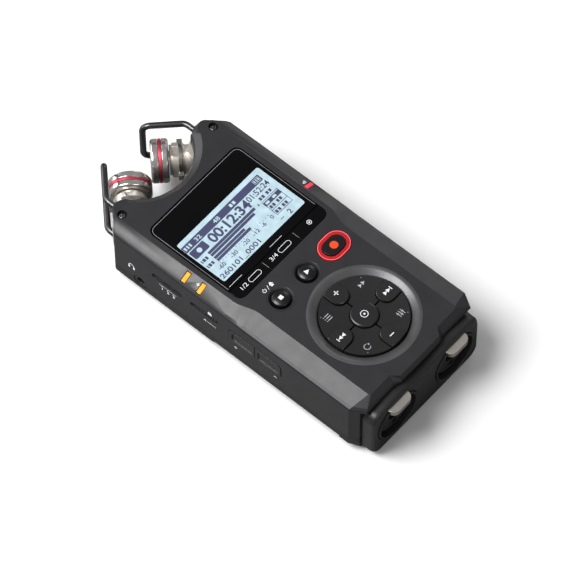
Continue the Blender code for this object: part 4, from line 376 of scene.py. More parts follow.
# %% Dress the sockets, lenses and hardware
for socket in ("phones_socket", "remote_socket"):
    dress(socket, key_plastic, 0.12 * MM, 40)
for socket in ("left_input_socket", "right_input_socket"):
    dress(socket, end_plastic, 0.15 * MM, 45)
for latch in ("left_release_latch", "right_release_latch"):
    dress(latch, latch_nickel, 0.15 * MM, 50)
for lens in ("power_lens", "source_lens"):
    dress(lens, orange_glow, 0.2 * MM, 35)
dress("peak_lens", red_glow, 0.2 * MM, 35)
for screw in ("left_horn_screw", "right_horn_screw"):
    dress(screw, screw_plating, 0.08 * MM, 45)
for guard in ("left_mic_guard", "right_mic_guard"):
    dress(guard, guard_coating, 0, smooth=60)
dress("usb_socket", spring_plating, 0.06 * MM, 50)
print("sockets, lenses and hardware dressed")

# %% [markdown]
# The pieces inside show only through gaps, or when the cover is open. They keep their solids and
# only get their finishes.

# %% Finish the inside
inside_finishes = {
    "screen_module": screen_pale,
    "key_mat": mat_rubber,
    "main_board": board_epoxy,
    "cell_1": cell_sleeve,
    "cell_2": cell_sleeve,
    "cell_3": cell_sleeve,
    "negative_contacts": spring_plating,
    "positive_contacts": spring_plating,
    "speaker": mat_rubber,
    "tripod_bush": bush_brass,
}
for solid, finish in inside_finishes.items():
    mesh = frame["nodes"][solid].data
    mesh.materials.clear()
    mesh.materials.append(finish)
print(len(inside_finishes), "inner solids given their finish")

# %% [markdown]
# ## Small shapes for prints and lines
# Printed marks are thin slabs a few hundredths of a millimetre high. Each helper adds one shape to a
# bmesh that is still open, so a whole group of marks becomes one piece. A second way is a mask in
# the finish, but a mask has no crisp edge when the camera comes close.

# %% Slab, disc and ring helpers
INK, FILM = 0.05 * MM, 0.03 * MM


def move(shape, made, matrix):
    bmesh.ops.transform(shape, matrix=matrix, verts=made)


def slab(shape, centre, size, turn=0.0):
    made = bmesh.ops.create_cube(shape, size=1)["verts"]
    matrix = Matrix.Translation(centre) @ Matrix.Rotation(turn, 4, "Z") @ Matrix.Diagonal((*size, 1))
    move(shape, made, matrix)
    return made


def disc(shape, centre, radius, height=INK, sides=28):
    made = bmesh.ops.create_cone(
        shape, cap_ends=True, segments=sides, radius1=radius, radius2=radius, depth=height
    )["verts"]
    move(shape, made, Matrix.Translation(centre))
    return made


def ring(shape, centre, radius, line, sweep=360, start=0.0, steps=32):
    """A flat ring, or part of one, spun from a small rectangle."""
    corners = bmesh.ops.create_grid(shape, x_segments=1, y_segments=1, size=0.5)["verts"]
    upright = Matrix.Translation((radius, 0, 0)) @ Matrix.Rotation(math.pi / 2, 4, "X")
    move(shape, corners, upright @ Matrix.Diagonal((line, INK, 1, 1)))
    faces = list({face for corner in corners for face in corner.link_faces})
    full = sweep >= 360
    before = set(shape.verts)
    edges = list({edge for face in faces for edge in face.edges})
    if full:
        bmesh.ops.delete(shape, geom=faces, context="FACES_ONLY")
        faces = []
    bmesh.ops.spin(
        shape,
        geom=corners + edges + faces,
        cent=(0, 0, 0),
        axis=(0, 0, 1),
        angle=math.radians(sweep),
        steps=steps,
        use_merge=full,
    )
    verts = [vert for vert in shape.verts if vert not in before]
    verts += [corner for corner in corners if corner.is_valid]
    move(shape, verts, Matrix.Translation(centre) @ Matrix.Rotation(math.radians(start), 4, "Z"))
    return verts


def capsule_line(shape, centre, length, width, line):
    """The outline of a capsule from two half rings and two bars."""
    reach = (length - width) / 2
    for toward, start in ((1, -90), (-1, 90)):
        spot = (centre[0] + toward * reach, centre[1], centre[2])
        ring(shape, spot, width / 2, line, 180, start, 14)
    for up in (-1, 1):
        spot = (centre[0], centre[1] + up * width / 2, centre[2])
        slab(shape, spot, (2 * reach, line, INK))


def plus_sign(shape, centre, size, line):
    across = slab(shape, centre, (size * MM, line * MM, INK))
    return across + slab(shape, centre, (line * MM, size * MM, INK))


# %% [markdown]
# Digits come from Blender's own font. The text is made a mesh before its place is applied, so the
# finished piece still has its object at the origin.


# %% Digits
SIZE_OVER_HEIGHT = 1.37


def digits(shape, words, corner, height, stretch=1.0, line=0.0):
    """Adds digits whose lower left corner is at the given place. line thickens their strokes."""
    text = bpy.data.curves.new("digits", "FONT")
    text.body = words
    text.size = height * SIZE_OVER_HEIGHT
    text.extrude = INK / 2
    text.offset = line
    holder = bpy.data.objects.new("digits", text)
    bpy.context.scene.collection.objects.link(holder)
    bpy.context.view_layer.update()
    graph = bpy.context.evaluated_depsgraph_get()
    mesh = bpy.data.meshes.new_from_object(holder.evaluated_get(graph))
    bpy.data.objects.remove(holder, do_unlink=True)
    mesh.transform(Matrix.Translation(corner) @ Matrix.Diagonal((stretch, 1, 1, 1)))
    before = len(shape.verts)
    shape.from_mesh(mesh)
    shape.verts.ensure_lookup_table()
    bpy.data.meshes.remove(mesh)
    return shape.verts[before:]


# %% [markdown]
# ## Window and display
# The window is one glossy black sheet. The display is a pale blue field behind it, drawn here as a
# thin plate on top of the sheet: through clear plastic the eye can't tell the two apart, and an
# opaque plate exports better than a clear sheet.

# %% The window sheet
window_low, window_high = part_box("display_window")
keys_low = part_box("input_1_2_key")[0]
window_top = window_high[2]
dress("display_window", glass_black, 0.12 * MM, 40)
print("window top at", round(window_top / MM, 3), "mm")

# %% [markdown]
# A thin silver line follows the sheet's outline just inside its edge. The sheet's own top face
# gives the outline: it is kept alone and inset twice, first to step in and then for the line's
# width. The middle goes, the line is cut off above the keys, and what is left is raised a little.

# %% A thin silver line just inside the sheet's edge
BURIED = 0.005 * MM


def keep_only(shape, kept):
    doomed = [face for face in shape.faces if face != kept]
    bmesh.ops.delete(shape, geom=doomed, context="FACES")


def raise_film(shape):
    """Gives flat faces the thickness of a printed film."""
    made = bmesh.ops.extrude_face_region(shape, geom=shape.faces[:])
    lifted = [item for item in made["geom"] if isinstance(item, bmesh.types.BMVert)]
    bmesh.ops.translate(shape, vec=(0, 0, FILM), verts=lifted)


def top_line(solid, inset, line, end):
    """A thin line that follows the outline of a solid's flat top, cut off below the end."""
    shape = merged_copy(solid)
    level = [face for face in shape.faces if face.normal.z > 0.98]
    top = max(
        level,
        key=lambda face: (round(face.calc_center_median().z / MM, 1), face.calc_area()),
    )
    keep_only(shape, top)
    bmesh.ops.inset_individual(shape, faces=[top], thickness=inset, use_even_offset=True)
    keep_only(shape, top)
    bmesh.ops.inset_individual(shape, faces=[top], thickness=line, use_even_offset=True)
    bmesh.ops.delete(shape, geom=[top], context="FACES")
    everything = shape.verts[:] + shape.edges[:] + shape.faces[:]
    bmesh.ops.bisect_plane(
        shape, geom=everything, plane_co=(0, end, 0), plane_no=(0, 1, 0), clear_inner=True
    )
    raise_film(shape)
    bmesh.ops.translate(shape, vec=(0, 0, -BURIED), verts=shape.verts)
    return shape


edge_line = top_line("display_window", 0.35 * MM, 0.2 * MM, window_low[1] + 0.7 * MM)
print("window line has", len(edge_line.faces), "faces")
piece("display_window_edge_line", edge_line, silver_line, body_of_solid["display_window"])

# %% [markdown]
# The display shows what a recorder shows: a status bar with a battery, a badge, the running time,
# two pairs of level bars over a scale, and a line of digits. Everything is generic numbers and bars.

# %% The display field
SCREEN_X, SCREEN_Y = -24.2 * MM, window_low[1] + 4.2 * MM
SCREEN_TALL = 25.1 * MM


def rounded_slab(name, low, high, radius, z, finish):
    """A thin plate with round corners, from one grid face."""
    shape = bmesh.new()
    made = bmesh.ops.create_grid(shape, x_segments=1, y_segments=1, size=0.5)["verts"]
    centre = ((low[0] + high[0]) / 2, (low[1] + high[1]) / 2, z)
    size = Matrix.Diagonal((high[0] - low[0], high[1] - low[1], 1, 1))
    move(shape, made, Matrix.Translation(centre) @ size)
    bmesh.ops.bevel(
        shape,
        geom=list(made[0].link_faces[0].verts),
        offset=radius,
        segments=6,
        profile=0.5,
        affect="VERTICES",
        material=-1,
    )
    raise_film(shape)
    piece(name, shape, finish, "casing")


corner = (-SCREEN_X, SCREEN_Y + SCREEN_TALL)
rounded_slab("display_field", (SCREEN_X, SCREEN_Y), corner, 0.9 * MM, window_top, screen_pale)
print("display field is", round(-2 * SCREEN_X / MM, 1), "by", round(SCREEN_TALL / MM, 1), "mm")

# %% [markdown]
# On the display everything is dark ink on the pale field, or pale on a dark bar. So there are two
# open shapes, one for each colour, the pale one a film higher. Places are given in millimetres
# from the field's lower left corner, which is how they were measured.

# %% Bars and boxes on the display
INK_Z = window_top + 1.5 * FILM
PALE_Z = INK_Z + FILM
marks = bmesh.new()
pale = bmesh.new()


def on_screen(x, y, z=INK_Z):
    return (SCREEN_X + x * MM, SCREEN_Y + y * MM, z)


def screen_bar(left, low, right, high, shape=marks, z=INK_Z):
    centre = on_screen((left + right) / 2, (low + high) / 2, z)
    slab(shape, centre, ((right - left) * MM, (high - low) * MM, FILM))


def screen_box(left, low, right, high, line=0.22, shape=marks, z=INK_Z):
    screen_bar(left, low, right, low + line, shape, z)
    screen_bar(left, high - line, right, high, shape, z)
    screen_bar(left, low, left + line, high, shape, z)
    screen_bar(right - line, low, right, high, shape, z)


# %% Status bar, badge and running time
screen_bar(0.1, 19.6, 45.7, 22.9)
digits(pale, "32", on_screen(6.6, 20.3, PALE_Z), 1.9 * MM, 1.3, 0.03 * MM)
digits(pale, "48", on_screen(17.6, 20.3, PALE_Z), 1.9 * MM, 1.3, 0.03 * MM)
for left in (0.7, 2.1, 3.5):
    screen_bar(left, 20.4, left + 0.8, 22.1, pale, PALE_Z)
for left in (27.4, 29.2):
    screen_bar(left, 20.5, left + 1.2, 22.0, pale, PALE_Z)
screen_box(41.6, 20.1, 45.0, 22.4, 0.2, pale, PALE_Z)
for left in (42.1, 43.1, 44.1):
    screen_bar(left, 20.6, left + 0.5, 21.9, pale, PALE_Z)
badge_low, badge_high = on_screen(0.5, 14.9), on_screen(8.6, 19.1)
rounded_slab("display_badge", badge_low, badge_high, 0.6 * MM, INK_Z, screen_ink)
disc(pale, on_screen(4.55, 17.0, PALE_Z), 1.15 * MM, FILM)
digits(marks, "00:12:34", on_screen(10.6, 14.7), 4.6 * MM, 1.07, 0.17 * MM)
digits(marks, "01:52:24", on_screen(33.9, 16.3), 2.8 * MM, 0.93, 0.04 * MM)
print("status bar and times drawn,", len(marks.faces), "dark faces")

# %% Level bars, their scale and the bottom line
for low, right in ((12.6, 33.2), (11.1, 31.3), (9.35, 23.4), (7.85, 25.3)):
    screen_bar(5.6, low, right, low + 1.25)
for low in (11.7, 8.5):
    for left, width in ((0.7, 0.5), (1.6, 1.2), (3.2, 1.0)):
        screen_bar(left, low, left + width, low + 1.5)
screen_bar(35.0, 12.6, 35.6, 13.5)
for step in range(19):
    tall = 0.75 if step % 3 == 0 else 0.4
    screen_bar(5.6 + step * 1.58, 6.8, 5.8 + step * 1.58, 6.8 + tall)
scale = ((3.0, "-60"), (10.2, "-30"), (17.3, "-20"), (23.3, "-12"), (28.6, "-6"), (33.9, "0"))
for left, words in scale:
    digits(marks, words, on_screen(left, 4.7), 1.8 * MM, 1.15, 0.02 * MM)
digits(marks, "260101_0001", on_screen(0.6, 1.05), 2.35 * MM, 1.33, 0.03 * MM)
screen_bar(36.0, 1.9, 38.0, 2.2)
digits(marks, "2", on_screen(40.4, 0.8), 2.4 * MM, 1.2, 0.03 * MM)
print("level bars drawn,", len(marks.faces), "dark faces")

# %% The small column at the right
screen_box(36.8, 4.4, 46.0, 12.9)
screen_bar(36.8, 10.1, 46.0, 12.2)
screen_bar(36.8, 7.2, 46.0, 7.42)
for left in (37.4, 39.0, 41.4, 43.0):
    screen_bar(left, 8.0, left + 1.1, 9.5)
    screen_bar(left, 13.6, left + 1.1, 15.1)
    screen_bar(left, 5.0, left + 1.1, 6.5)
for left in (37.6, 41.6):
    screen_bar(left, 10.6, left + 1.9, 11.7, pale, PALE_Z)
piece("display_marks", marks, screen_ink, "casing")
piece("display_pale_marks", pale, screen_pale, "casing")
print("display drawn, its ink at", round(INK_Z / MM, 3), "mm")

# %% [markdown]
# ## Printed symbols
# The keys carry the plain transport signs: a square, a triangle, double arrows, plus and minus. The
# wide keys get plain pictograms in place of words. A print is started at the middle of its key's
# top, which is measured from the solid, and rides with that key when it is pressed.


# %% One printed symbol for each key
def start_print(solid, dx=0.0, dy=0.0):
    low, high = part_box(solid)
    centre = Vector(((low[0] + high[0]) / 2 + dx * MM, (low[1] + high[1]) / 2 + dy * MM, high[2]))
    return bmesh.new(), centre


def end_print(name, shape, solid, finish=None):
    piece(name, shape, finish or print_white, body_of_solid[solid])


def arrow(shape, centre, size, toward, squash=0.9):
    """A triangle pointing along +X or -X."""
    made = disc(shape, (0, 0, 0), size * MM, INK, 3)
    turn = Matrix.Rotation(math.radians(-90 * toward), 4, "Z")
    place = Matrix.Translation(centre) @ Matrix.Diagonal((squash, 1, 1, 1)) @ turn
    move(shape, made, place)


# %% Transport row
shape, top = start_print("stop_button")
slab(shape, top, (1.8 * MM, 1.8 * MM, INK))
end_print("stop_symbol", shape, "stop_button")
shape, top = start_print("play_button")
arrow(shape, top + Vector((-0.25 * MM, 0, 0)), 1.3, 1, 1.1)
end_print("play_symbol", shape, "play_button")
# The record sign's red print takes a faint emission, a painted glow.
shape, top = start_print("record_button")
disc(shape, top, 1.75 * MM, INK * 2)
end_print("record_symbol", shape, "record_button", record_dot_painted_glow)
print("transport signs printed")

# %% [markdown]
# The four narrow keys of the pad point along the casing's own directions. Their signs stand a
# little outside the middle, as they do in the photograph.

# %% Arrow keys
SIGN, STROKE = 2.3, 0.42
shape, top = start_print("plus_key", 0, 0.9)
plus_sign(shape, top, SIGN, STROKE)
end_print("plus_symbol", shape, "plus_key")
shape, top = start_print("minus_key", 0, -0.5)
slab(shape, top, (SIGN * MM, STROKE * MM, INK))
end_print("minus_symbol", shape, "minus_key")
for key, toward in (("forward_key", 1), ("back_key", -1)):
    shape, top = start_print(key, 0.4 * toward)
    for step in (-1.5, 0.25):
        arrow(shape, top + Vector((step * toward * MM, 0, 0)), 1.0, toward, 1.2)
    slab(shape, top + Vector((1.75 * toward * MM, 0, 0)), (0.36 * MM, 1.8 * MM, INK))
    end_print(key + "_symbol", shape, key)
print("arrow keys printed")

# %% [markdown]
# The four wide keys dip in the middle, so a symbol laid at their highest point would float. Each is
# laid in the dip instead: the dish is half a millimetre deep at the middle of the band.

# %% Lay a mark in a wide key's dish
low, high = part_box("enter_key")
pad = Vector(((low[0] + high[0]) / 2, (low[1] + high[1]) / 2, 0))
DISH_START, DISH_RUN, DISH_RISE = 11.85, 5.7, 0.5
WIDE_KEY_TOP, ABOVE_DISH = 33.5, 0.03
print("pad centre at", [round(place / MM, 2) for place in pad[:2]], "mm")


def lay_on_wide_key(shape, degrees, radius):
    """Moves a flat mark from the origin onto a wide key's dished face, which rises outwards."""
    share = min(max((radius - DISH_START) / DISH_RUN, 0), 1)
    height = WIDE_KEY_TOP - DISH_RISE * (1 - share) + ABOVE_DISH
    angle = math.radians(degrees)
    spot = pad + Vector((radius * math.cos(angle), radius * math.sin(angle), height)) * MM
    turn = Matrix.Rotation(angle, 4, "Z")
    tilt = turn @ Matrix.Rotation(-math.atan2(DISH_RISE, DISH_RUN), 4, "Y") @ turn.inverted()
    move(shape, shape.verts, Matrix.Translation(spot) @ tilt)


# %% [markdown]
# In place of words the wide keys get lines for a menu, sliders for a mixer, a turning arrow for
# playback and a double arrow for quick work. Each is built at the origin, then laid on its key at
# the key's own angle round the pad, with the small tick that stands near the outer edge.

# %% Wide keys
SYMBOL_RADIUS, TICK_RADIUS = 14.2, 17.0
menu_mark = bmesh.new()
for step in (-1.05, 0.0, 1.05):
    slab(menu_mark, (0.3 * MM, step * MM, 0), (2.4 * MM, 0.36 * MM, INK))
    slab(menu_mark, (-1.5 * MM, step * MM, 0), (0.4 * MM, 0.36 * MM, INK))
mixer_mark = bmesh.new()
for step, knob in ((-1.1, 0.5), (0.0, -0.6), (1.1, 0.2)):
    slab(mixer_mark, (step * MM, 0, 0), (0.26 * MM, 2.9 * MM, INK))
    slab(mixer_mark, (step * MM, knob * MM, 0), (0.85 * MM, 0.5 * MM, INK))
playback_mark = bmesh.new()
ring(playback_mark, (0, 0, 0), 1.3 * MM, 0.3 * MM, 270, 60)
arrow(playback_mark, Vector((1.3 * MM, 0.5 * MM, 0)), 0.6, 1)
quick_mark = bmesh.new()
for step in (-0.95, 0.75):
    arrow(quick_mark, Vector((step * MM, 0, 0)), 1.05, 1)
for solid, degrees, mark in (
    ("menu_key", 135, menu_mark),
    ("mixer_key", 315, mixer_mark),
    ("playback_key", 225, playback_mark),
    ("quick_key", 45, quick_mark),
):
    lay_on_wide_key(mark, degrees, SYMBOL_RADIUS)
    end_print(solid + "_symbol", mark, solid, print_grey)
    tick = bmesh.new()
    disc(tick, (0, 0, 0), 0.16 * MM, INK, 12)
    lay_on_wide_key(tick, degrees, TICK_RADIUS)
    end_print(solid + "_tick", tick, solid, print_grey)
shape, top = start_print("enter_key")
ring(shape, top, 1.5 * MM, 0.3 * MM)
disc(shape, top, 0.45 * MM)
end_print("enter_symbol", shape, "enter_key")
print("pad printed")

# %% [markdown]
# The keys under the window carry plain numbers, each with an empty capsule beside it, and a round
# sign. Short brackets on the window above them show which keys belong together.

# %% Strip keys: plain numbers, empty capsules and the brackets above them
strip_y = (keys_low[1] + window_low[1]) / 2 + 0.1 * MM
for solid, words, x in (("input_1_2_key", "1/2", -22.9), ("input_3_4_key", "3/4", -5.2)):
    shape = bmesh.new()
    digits(shape, words, (x * MM, strip_y - 0.85 * MM, window_top), 1.95 * MM, 1.2, 0)
    capsule_line(shape, (x * MM + 8.6 * MM, strip_y, window_top), 6.6 * MM, 2.2 * MM, 0.2 * MM)
    end_print(solid + "_print", shape, solid)
shape = bmesh.new()
ring(shape, (18.2 * MM, strip_y, window_top), 0.95 * MM, 0.26 * MM)
disc(shape, (18.2 * MM, strip_y, window_top), 0.4 * MM)
end_print("record_mode_print", shape, "record_mode_key")
shape = bmesh.new()
bracket_y = window_low[1] + 1.2 * MM
for left, right in ((-24.7, -17.3), (-0.7, 6.4)):
    middle = ((left + right) / 2 * MM, bracket_y, window_top)
    slab(shape, middle, ((right - left) * MM, 0.17 * MM, INK))
piece("track_bracket", shape, print_white, "casing")
print("strip keys printed at", round(strip_y / MM, 2), "mm")

# %% [markdown]
# A thin light line stands where one of these keys meets the next. A pale bar along the key's left
# edge, riding with the key, draws that line.

# %% The light edges where one strip key meets the next
for solid in ("input_3_4_key", "record_mode_key"):
    low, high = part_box(solid)
    shape = bmesh.new()
    slab(shape, (low[0] + 0.12 * MM, strip_y, window_top), (0.16 * MM, 3.4 * MM, INK))
    end_print(solid + "_edge", shape, solid, silver_line)
print("strip key edges drawn")

# %% [markdown]
# ## Marks on the casing
# Above the stop button stand a power sign and a house with a stroke between them. They lie on the
# flat plate, so they need no turning: only their places and the plate's height are given.

# %% Marks on the plate
PLATE = 33.6 * MM
POWER_X, STROKE_X, HOUSE_X = -17.2 * MM, -15.1 * MM, -13.1 * MM
signs = bmesh.new()
ring(signs, (POWER_X, -9.75 * MM, PLATE), 0.75 * MM, 0.24 * MM, 290, 125)
slab(signs, (POWER_X, -9.1 * MM, PLATE), (0.24 * MM, 0.9 * MM, INK))
slab(signs, (STROKE_X, -9.7 * MM, PLATE), (0.22 * MM, 2.0 * MM, INK), math.radians(-25))
roof = disc(signs, (0, 0, 0), 1.15 * MM, INK, 3)
flatten = Matrix.Diagonal((1.05, 0.8, 1, 1))
move(signs, roof, Matrix.Translation((HOUSE_X, -9.3 * MM, PLATE)) @ flatten)
slab(signs, (HOUSE_X, -10.1 * MM, PLATE), (1.2 * MM, 1.0 * MM, INK))
piece("plate_signs", signs, print_white, "casing")
print("plate signs at", round(PLATE / MM, 2), "mm")

# %% [markdown]
# Small marks stand by each lens on the sloped bands: a number, a plus and three bars that grow. A
# mark is drawn flat at the origin, tipped to the band's slope and moved to its place ahead of the
# lens, which is measured from the lens's solid.

# %% Marks by the lenses, on the sloped bands
BAND_DROP, BAND_RUN = 2.9, 6.3
SLOPE = math.atan2(BAND_DROP, BAND_RUN)
BAND_START = 28.7 * MM


def on_band(shape, made, solid, side, ahead):
    """Lays a flat mark on the sloped band, some way ahead of a lens."""
    low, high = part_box(solid)
    x, y = (low[0] + high[0]) / 2, (low[1] + high[1]) / 2
    height = PLATE - (abs(x) - BAND_START) * math.tan(SLOPE) + INK
    place = Matrix.Translation((x, y + ahead * MM, height))
    move(shape, made, place @ Matrix.Rotation(side * SLOPE, 4, "Y"))


signs = bmesh.new()
number = digits(signs, "4", (-0.6 * MM, -0.8 * MM, 0), 1.6 * MM, 1.1, 0.04 * MM)
on_band(signs, number, "power_lens", -1, 2.2)
on_band(signs, plus_sign(signs, (0, 0, 0), 1.5, 0.3), "source_lens", -1, 2.1)
for step in (0, 1, 2):
    place = ((step - 1) * 0.7 * MM, step * 0.15 * MM, 0)
    bar = slab(signs, place, (0.4 * MM, (0.9 + step * 0.3) * MM, INK))
    on_band(signs, bar, "peak_lens", 1, 2.1)
piece("lens_signs", signs, print_white, "casing")
print("bands slope by", round(math.degrees(SLOPE), 1), "degrees")

# %% [markdown]
# On the left wall are a headphone sign, the three places of the input switch, a padlock and an
# arrow by the hold switch, and plus and minus below the level keys. Words on the real walls are
# left out. All are drawn flat, across and up, and one matrix then stands the sheet against the wall.

# %% Marks on the left wall
HALF_WIDTH = 35.0 * MM
LEFT_WALL = Matrix(((0, 0, -1, -HALF_WIDTH), (-1, 0, 0, 0), (0, 1, 0, 0), (0, 0, 0, 1)))
PHONES, LOCK, LEVEL_UP, LEVEL_DOWN = -44.6, -3.3, 10.1, 30.6
SWITCH_PLACES = (-28.5, -25.5, -22.5)


def at(across, up):
    return (across * MM, up * MM, 0)


wall = bmesh.new()
ring(wall, at(PHONES, 16.3), 1.25 * MM, 0.32 * MM, 180, 0, 16)
for side in (-1, 1):
    slab(wall, at(PHONES + side * 1.25, 15.4), (0.8 * MM, 1.7 * MM, INK))
for index, place in enumerate(SWITCH_PLACES):
    slab(wall, at(place, 18.1), (0.2 * MM, 0.8 * MM, INK))
    digits(wall, str(index + 1), at(place - 0.45, 15.7), 1.6 * MM, 1.2, 0.04 * MM)
slab(wall, at(SWITCH_PLACES[1], 18.5), (9.0 * MM, 0.16 * MM, INK))
slab(wall, at(LOCK, 24.2), (1.9 * MM, 1.4 * MM, INK))
ring(wall, at(LOCK, 24.9), 0.62 * MM, 0.25 * MM, 180, 0, 12)
slab(wall, at(-2.6, 17.1), (5.0 * MM, 0.2 * MM, INK))
tip = disc(wall, (0, 0, 0), 0.75 * MM, INK, 3)
move(wall, tip, Matrix.Translation(at(-5.8, 17.1)) @ Matrix.Rotation(math.radians(90), 4, "Z"))
plus_sign(wall, at(LEVEL_UP, 13.5), 1.5, 0.3)
slab(wall, at(LEVEL_DOWN, 13.5), (1.5 * MM, 0.3 * MM, INK))
move(wall, wall.verts, LEFT_WALL)
print("left wall has", len(wall.faces), "printed faces")
piece("left_wall_marks", wall, print_white, "casing")

# %% [markdown]
# ## The ring round the key pad
# The brightest line on the casing's front is the sloping ring that the keys sit in. It is part of the
# moulding, yet it gets a thin skin of its own: a short profile spun round the pad, lying on the slope.
# The skin's grey is lighter and partly metallic against the plate's paint: a painted sheen for the
# light that the slope catches.

# %% Spin the pad's ring
def spun(profile, centre, steps=96):
    """Spins a closed profile of (radius, height) points round an upright axis."""
    shape = bmesh.new()
    points = [shape.verts.new((radius * MM, 0, height * MM)) for radius, height in profile]
    edges = [shape.edges.new(pair) for pair in zip(points, points[1:] + points[:1])]
    bmesh.ops.spin(
        shape, geom=points + edges, cent=(0, 0, 0), axis=(0, 0, 1),
        angle=math.tau, steps=steps, use_merge=True,
    )
    bmesh.ops.remove_doubles(shape, verts=shape.verts, dist=0.001 * MM)
    bmesh.ops.translate(shape, vec=(centre[0], centre[1], 0), verts=shape.verts)
    return shape


ring_profile = [
    (18.45, 31.95), (18.5, 32.3), (19.0, 32.55), (19.8, 32.93), (20.5, 33.27), (21.1, 33.53),
    (21.6, 33.66), (22.2, 33.66), (22.7, 33.62), (22.7, 33.5), (21.5, 33.4), (19.8, 32.7),
    (18.6, 32.0),
]
print("pad ring is", 2 * max(ring_profile)[0], "mm across")
piece("pad_ring", spun(ring_profile, pad), ring_painted_sheen, "casing", 60)

# %% [markdown]
# The stop and play buttons sit in small dishes whose rounded brim catches the light in the same
# way, so the same spinning makes a skin for each.

# %% Brims of the two button dishes
brim_profile = [
    (4.25, 32.4), (4.3, 32.7), (4.6, 33.05), (4.95, 33.36), (5.3, 33.58), (5.7, 33.66), (6.0, 33.63),
    (6.0, 33.5), (5.3, 33.4), (4.7, 32.85), (4.35, 32.4),
]
for button in ("stop_button", "play_button"):
    low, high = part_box(button)
    centre = ((low[0] + high[0]) / 2, (low[1] + high[1]) / 2)
    piece(button + "_brim", spun(brim_profile, centre, 64), dish_paint, "casing", 60)
print("brims fitted")

# %% [markdown]
# The record button's ring is brightest along its outer edge. A thin capsule line of a paler, more
# glowing red, almost flush with the ring's top, paints that bright edge on as a painted highlight
# without splitting the ring.

# %% The bright rim of the record button's ring
low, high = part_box("record_light_ring")
rim = bmesh.new()
middle = ((low[0] + high[0]) / 2, (low[1] + high[1]) / 2, high[2] - 0.02 * MM)
inset = 0.45 * MM
capsule_line(rim, middle, high[0] - low[0] - inset, high[1] - low[1] - inset, 0.3 * MM)
piece("record_ring_rim", rim, rim_painted_highlight, "casing")
print("record rim is", round((high[0] - low[0] - inset) / MM, 2), "mm long")

# %% [markdown]
# ## Microphones
# Each head is turned from bar: a rounded front lip, a band, the red ring in its groove and a stepped
# back. The solids give the steps, so the dressed copy only rounds them.

# %% Dress the microphones
for hand in ("left", "right"):
    dress(hand + "_mic_head", mic_nickel, 0.3 * MM, 40, 3, 50)
    dress(hand + "_mic_ring", red_anodising, 0.1 * MM, 40, 2, 50)
    dress(hand + "_mic_arm", neck_nickel, 0.25 * MM, 40, 2, 40)
print("microphones dressed")

# %% [markdown]
# A clamp band with two lugs holds each neck. The photograph shows only part of it, so its form is
# kept simple. It is spun upright, gets its lugs, and is then turned to lie round the neck, whose
# line leaves the swivel at 45 degrees.

# %% Clamp bands round the necks
SWIVEL_X, SWIVEL_Y, SWIVEL_Z = 22.75 * MM, 54.9 * MM, 16.6 * MM
BAND_PROFILE = [(6.85, 10.4), (7.3, 10.4), (7.4, 10.55), (7.4, 11.95), (7.3, 12.1), (6.85, 12.1)]
LUG_SIZE = (2.2 * MM, 3.2 * MM, 2.2 * MM)
LUG_PLACE = (7.75 * MM, 0, 11.25 * MM)
NECK_LINE = math.radians(45)
for hand, side in (("left", -1), ("right", 1)):
    band = spun(BAND_PROFILE, (0, 0), 48)
    for around in (90, 270):
        turn = Matrix.Rotation(math.radians(around), 4, "Z")
        move(band, slab(band, LUG_PLACE, LUG_SIZE), turn)
    heading = NECK_LINE if side < 0 else math.pi - NECK_LINE
    swivel = Matrix.Translation((side * SWIVEL_X, SWIVEL_Y, SWIVEL_Z))
    lie_down = Matrix.Rotation(math.pi / 2, 4, "Y")
    move(band, band.verts, swivel @ Matrix.Rotation(heading, 4, "Z") @ lie_down)
    piece(hand + "_neck_band", band, band_nickel, body_of_solid[hand + "_mic_arm"])
print("neck bands fitted at", round(SWIVEL_X / MM, 2), round(SWIVEL_Y / MM, 2))

# %% [markdown]
# The grille behind each lip is a fine woven mesh. At this scale it is a finish, not a shape: small
# cells give both the bump and the dark gaps. Wires made one by one would need thousands of faces.


# %% Grilles of the microphones
def woven(name, colour):
    finish, shader = blank_finish(name, colour, 0.4, 0.8)
    place = add_node(finish, "ShaderNodeTexCoord")
    cells = add_node(finish, "ShaderNodeTexVoronoi", Scale=1600)
    wire_up(finish, place.outputs["Object"], cells.inputs["Vector"])
    raise_grain(finish, shader, cells.outputs["Distance"], 0.15 * MM)
    drift_tone(finish, shader, cells.outputs["Distance"], (0.01, 0.01, 0.01), colour)
    return finish


mesh_grey = woven("mesh_grey", (0.3, 0.3, 0.3))
for hand in ("left", "right"):
    dress(hand + "_mic_grille", mesh_grey, 0.1 * MM, 50, 2, 50)
print("grilles dressed")

# %% [markdown]
# ## Floor, light and camera
# The floor is white and runs out of view, as the photograph's background does. Real product
# photographs keep dark cards beside such a floor, so that glossy black sides don't mirror it. Here
# the floor itself does that: rays that come from a reflection meet a darker colour than the camera
# does. A card would show in some views, and this way it can't.

# %% Floor
bpy.ops.mesh.primitive_plane_add(size=8, location=(0, 0, -0.0004))
floor = bpy.context.object
floor.name = "floor"
SEEN, MIRRORED = (0.9, 0.9, 0.9), (0.16, 0.16, 0.16)
floor_finish, floor_shader = blank_finish("floor_pale", SEEN, 0.6)
paths = add_node(floor_finish, "ShaderNodeLightPath")
dim = add_node(floor_finish, "ShaderNodeMix")
dim.data_type = "RGBA"
dim.inputs["A"].default_value = (*SEEN, 1)
dim.inputs["B"].default_value = (*MIRRORED, 1)
wire_up(floor_finish, paths.outputs["Is Glossy Ray"], dim.inputs["Factor"])
wire_up(floor_finish, dim.outputs["Result"], floor_shader.inputs["Base Color"])
floor.data.materials.append(floor_finish)
print("floor laid")

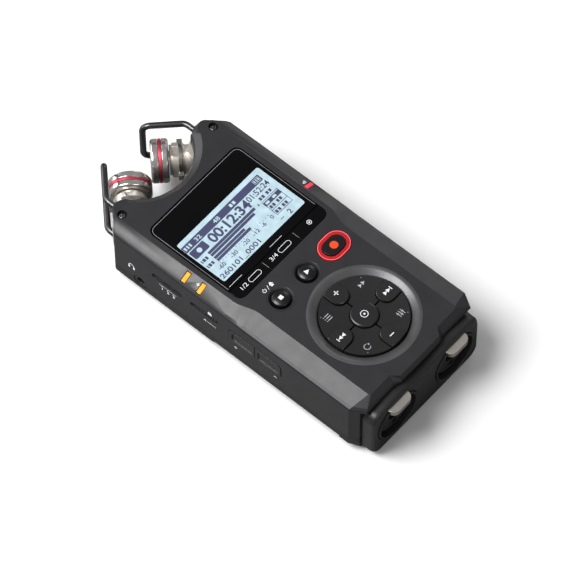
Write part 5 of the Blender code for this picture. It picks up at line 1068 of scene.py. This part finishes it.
# %% [markdown]
# A large soft lamp stands high above the microphones' end, to the left, and gives the plate its
# even tone. A narrow strip low on the right lights the right band, a weak lamp in front lifts the
# sockets' end, and a low one behind lights the microphones. An image of a studio could light the
# scene too, but area lamps need no file and each can be tuned alone.


# %% Lamps
def lamp(name, place, aim, size, power):
    light = bpy.data.lights.new(name, "AREA")
    light.shape = "RECTANGLE"
    light.size, light.size_y = size
    light.energy = power
    holder = bpy.data.objects.new(name, light)
    holder.location = place
    holder.rotation_euler = (Vector(aim) - Vector(place)).to_track_quat("-Z", "Y").to_euler()
    bpy.context.scene.collection.objects.link(holder)
    print(name, power, "W")


lamp("key_lamp", (-0.54, 0.44, 1.14), (0, 0, 0), (0.7, 0.8), 22)
lamp("right_strip", (1.05, 0.39, 0.36), (0, 0, 0.02), (0.3, 0.9), 1.4)
lamp("front_fill", (-0.25, -1.2, 0.9), (0, 0, 0), (0.7, 0.4), 3)
lamp("back_strip", (-0.35, 1.25, 0.28), (0, 0, 0.03), (1.2, 0.5), 6)
world = bpy.data.worlds.new("studio")
world.use_nodes = True
world.node_tree.nodes["Background"].inputs["Color"].default_value = (1, 1, 1, 1)
world.node_tree.nodes["Background"].inputs["Strength"].default_value = 0.22
bpy.context.scene.world = world
bpy.context.scene.view_settings.view_transform = "Standard"

# %% [markdown]
# The camera stands where the photograph's did. Its place, its directions and its focal length were
# solved from the corners of the casing in the picture, so they are given as measured.

# %% Camera
FOCAL_PIXELS, PICTURE_PIXELS = 4730.28, 576
camera = bpy.data.cameras.new("camera")
camera.sensor_width = 36
camera.lens = FOCAL_PIXELS / PICTURE_PIXELS * camera.sensor_width
camera.clip_end = 20
holder = bpy.data.objects.new("camera", camera)
right = Vector((0.65377, -0.75669, -0.00290))
up = Vector((0.64999, 0.55961, 0.51414))
forward = right.cross(up) * -1
turn = Matrix((right, up, -forward)).transposed().to_4x4()
holder.matrix_world = Matrix.Translation((-0.72477, -0.63924, 1.6156)) @ turn
bpy.context.scene.collection.objects.link(holder)
bpy.context.scene.camera = holder
print("camera lens", round(camera.lens, 1), "mm")
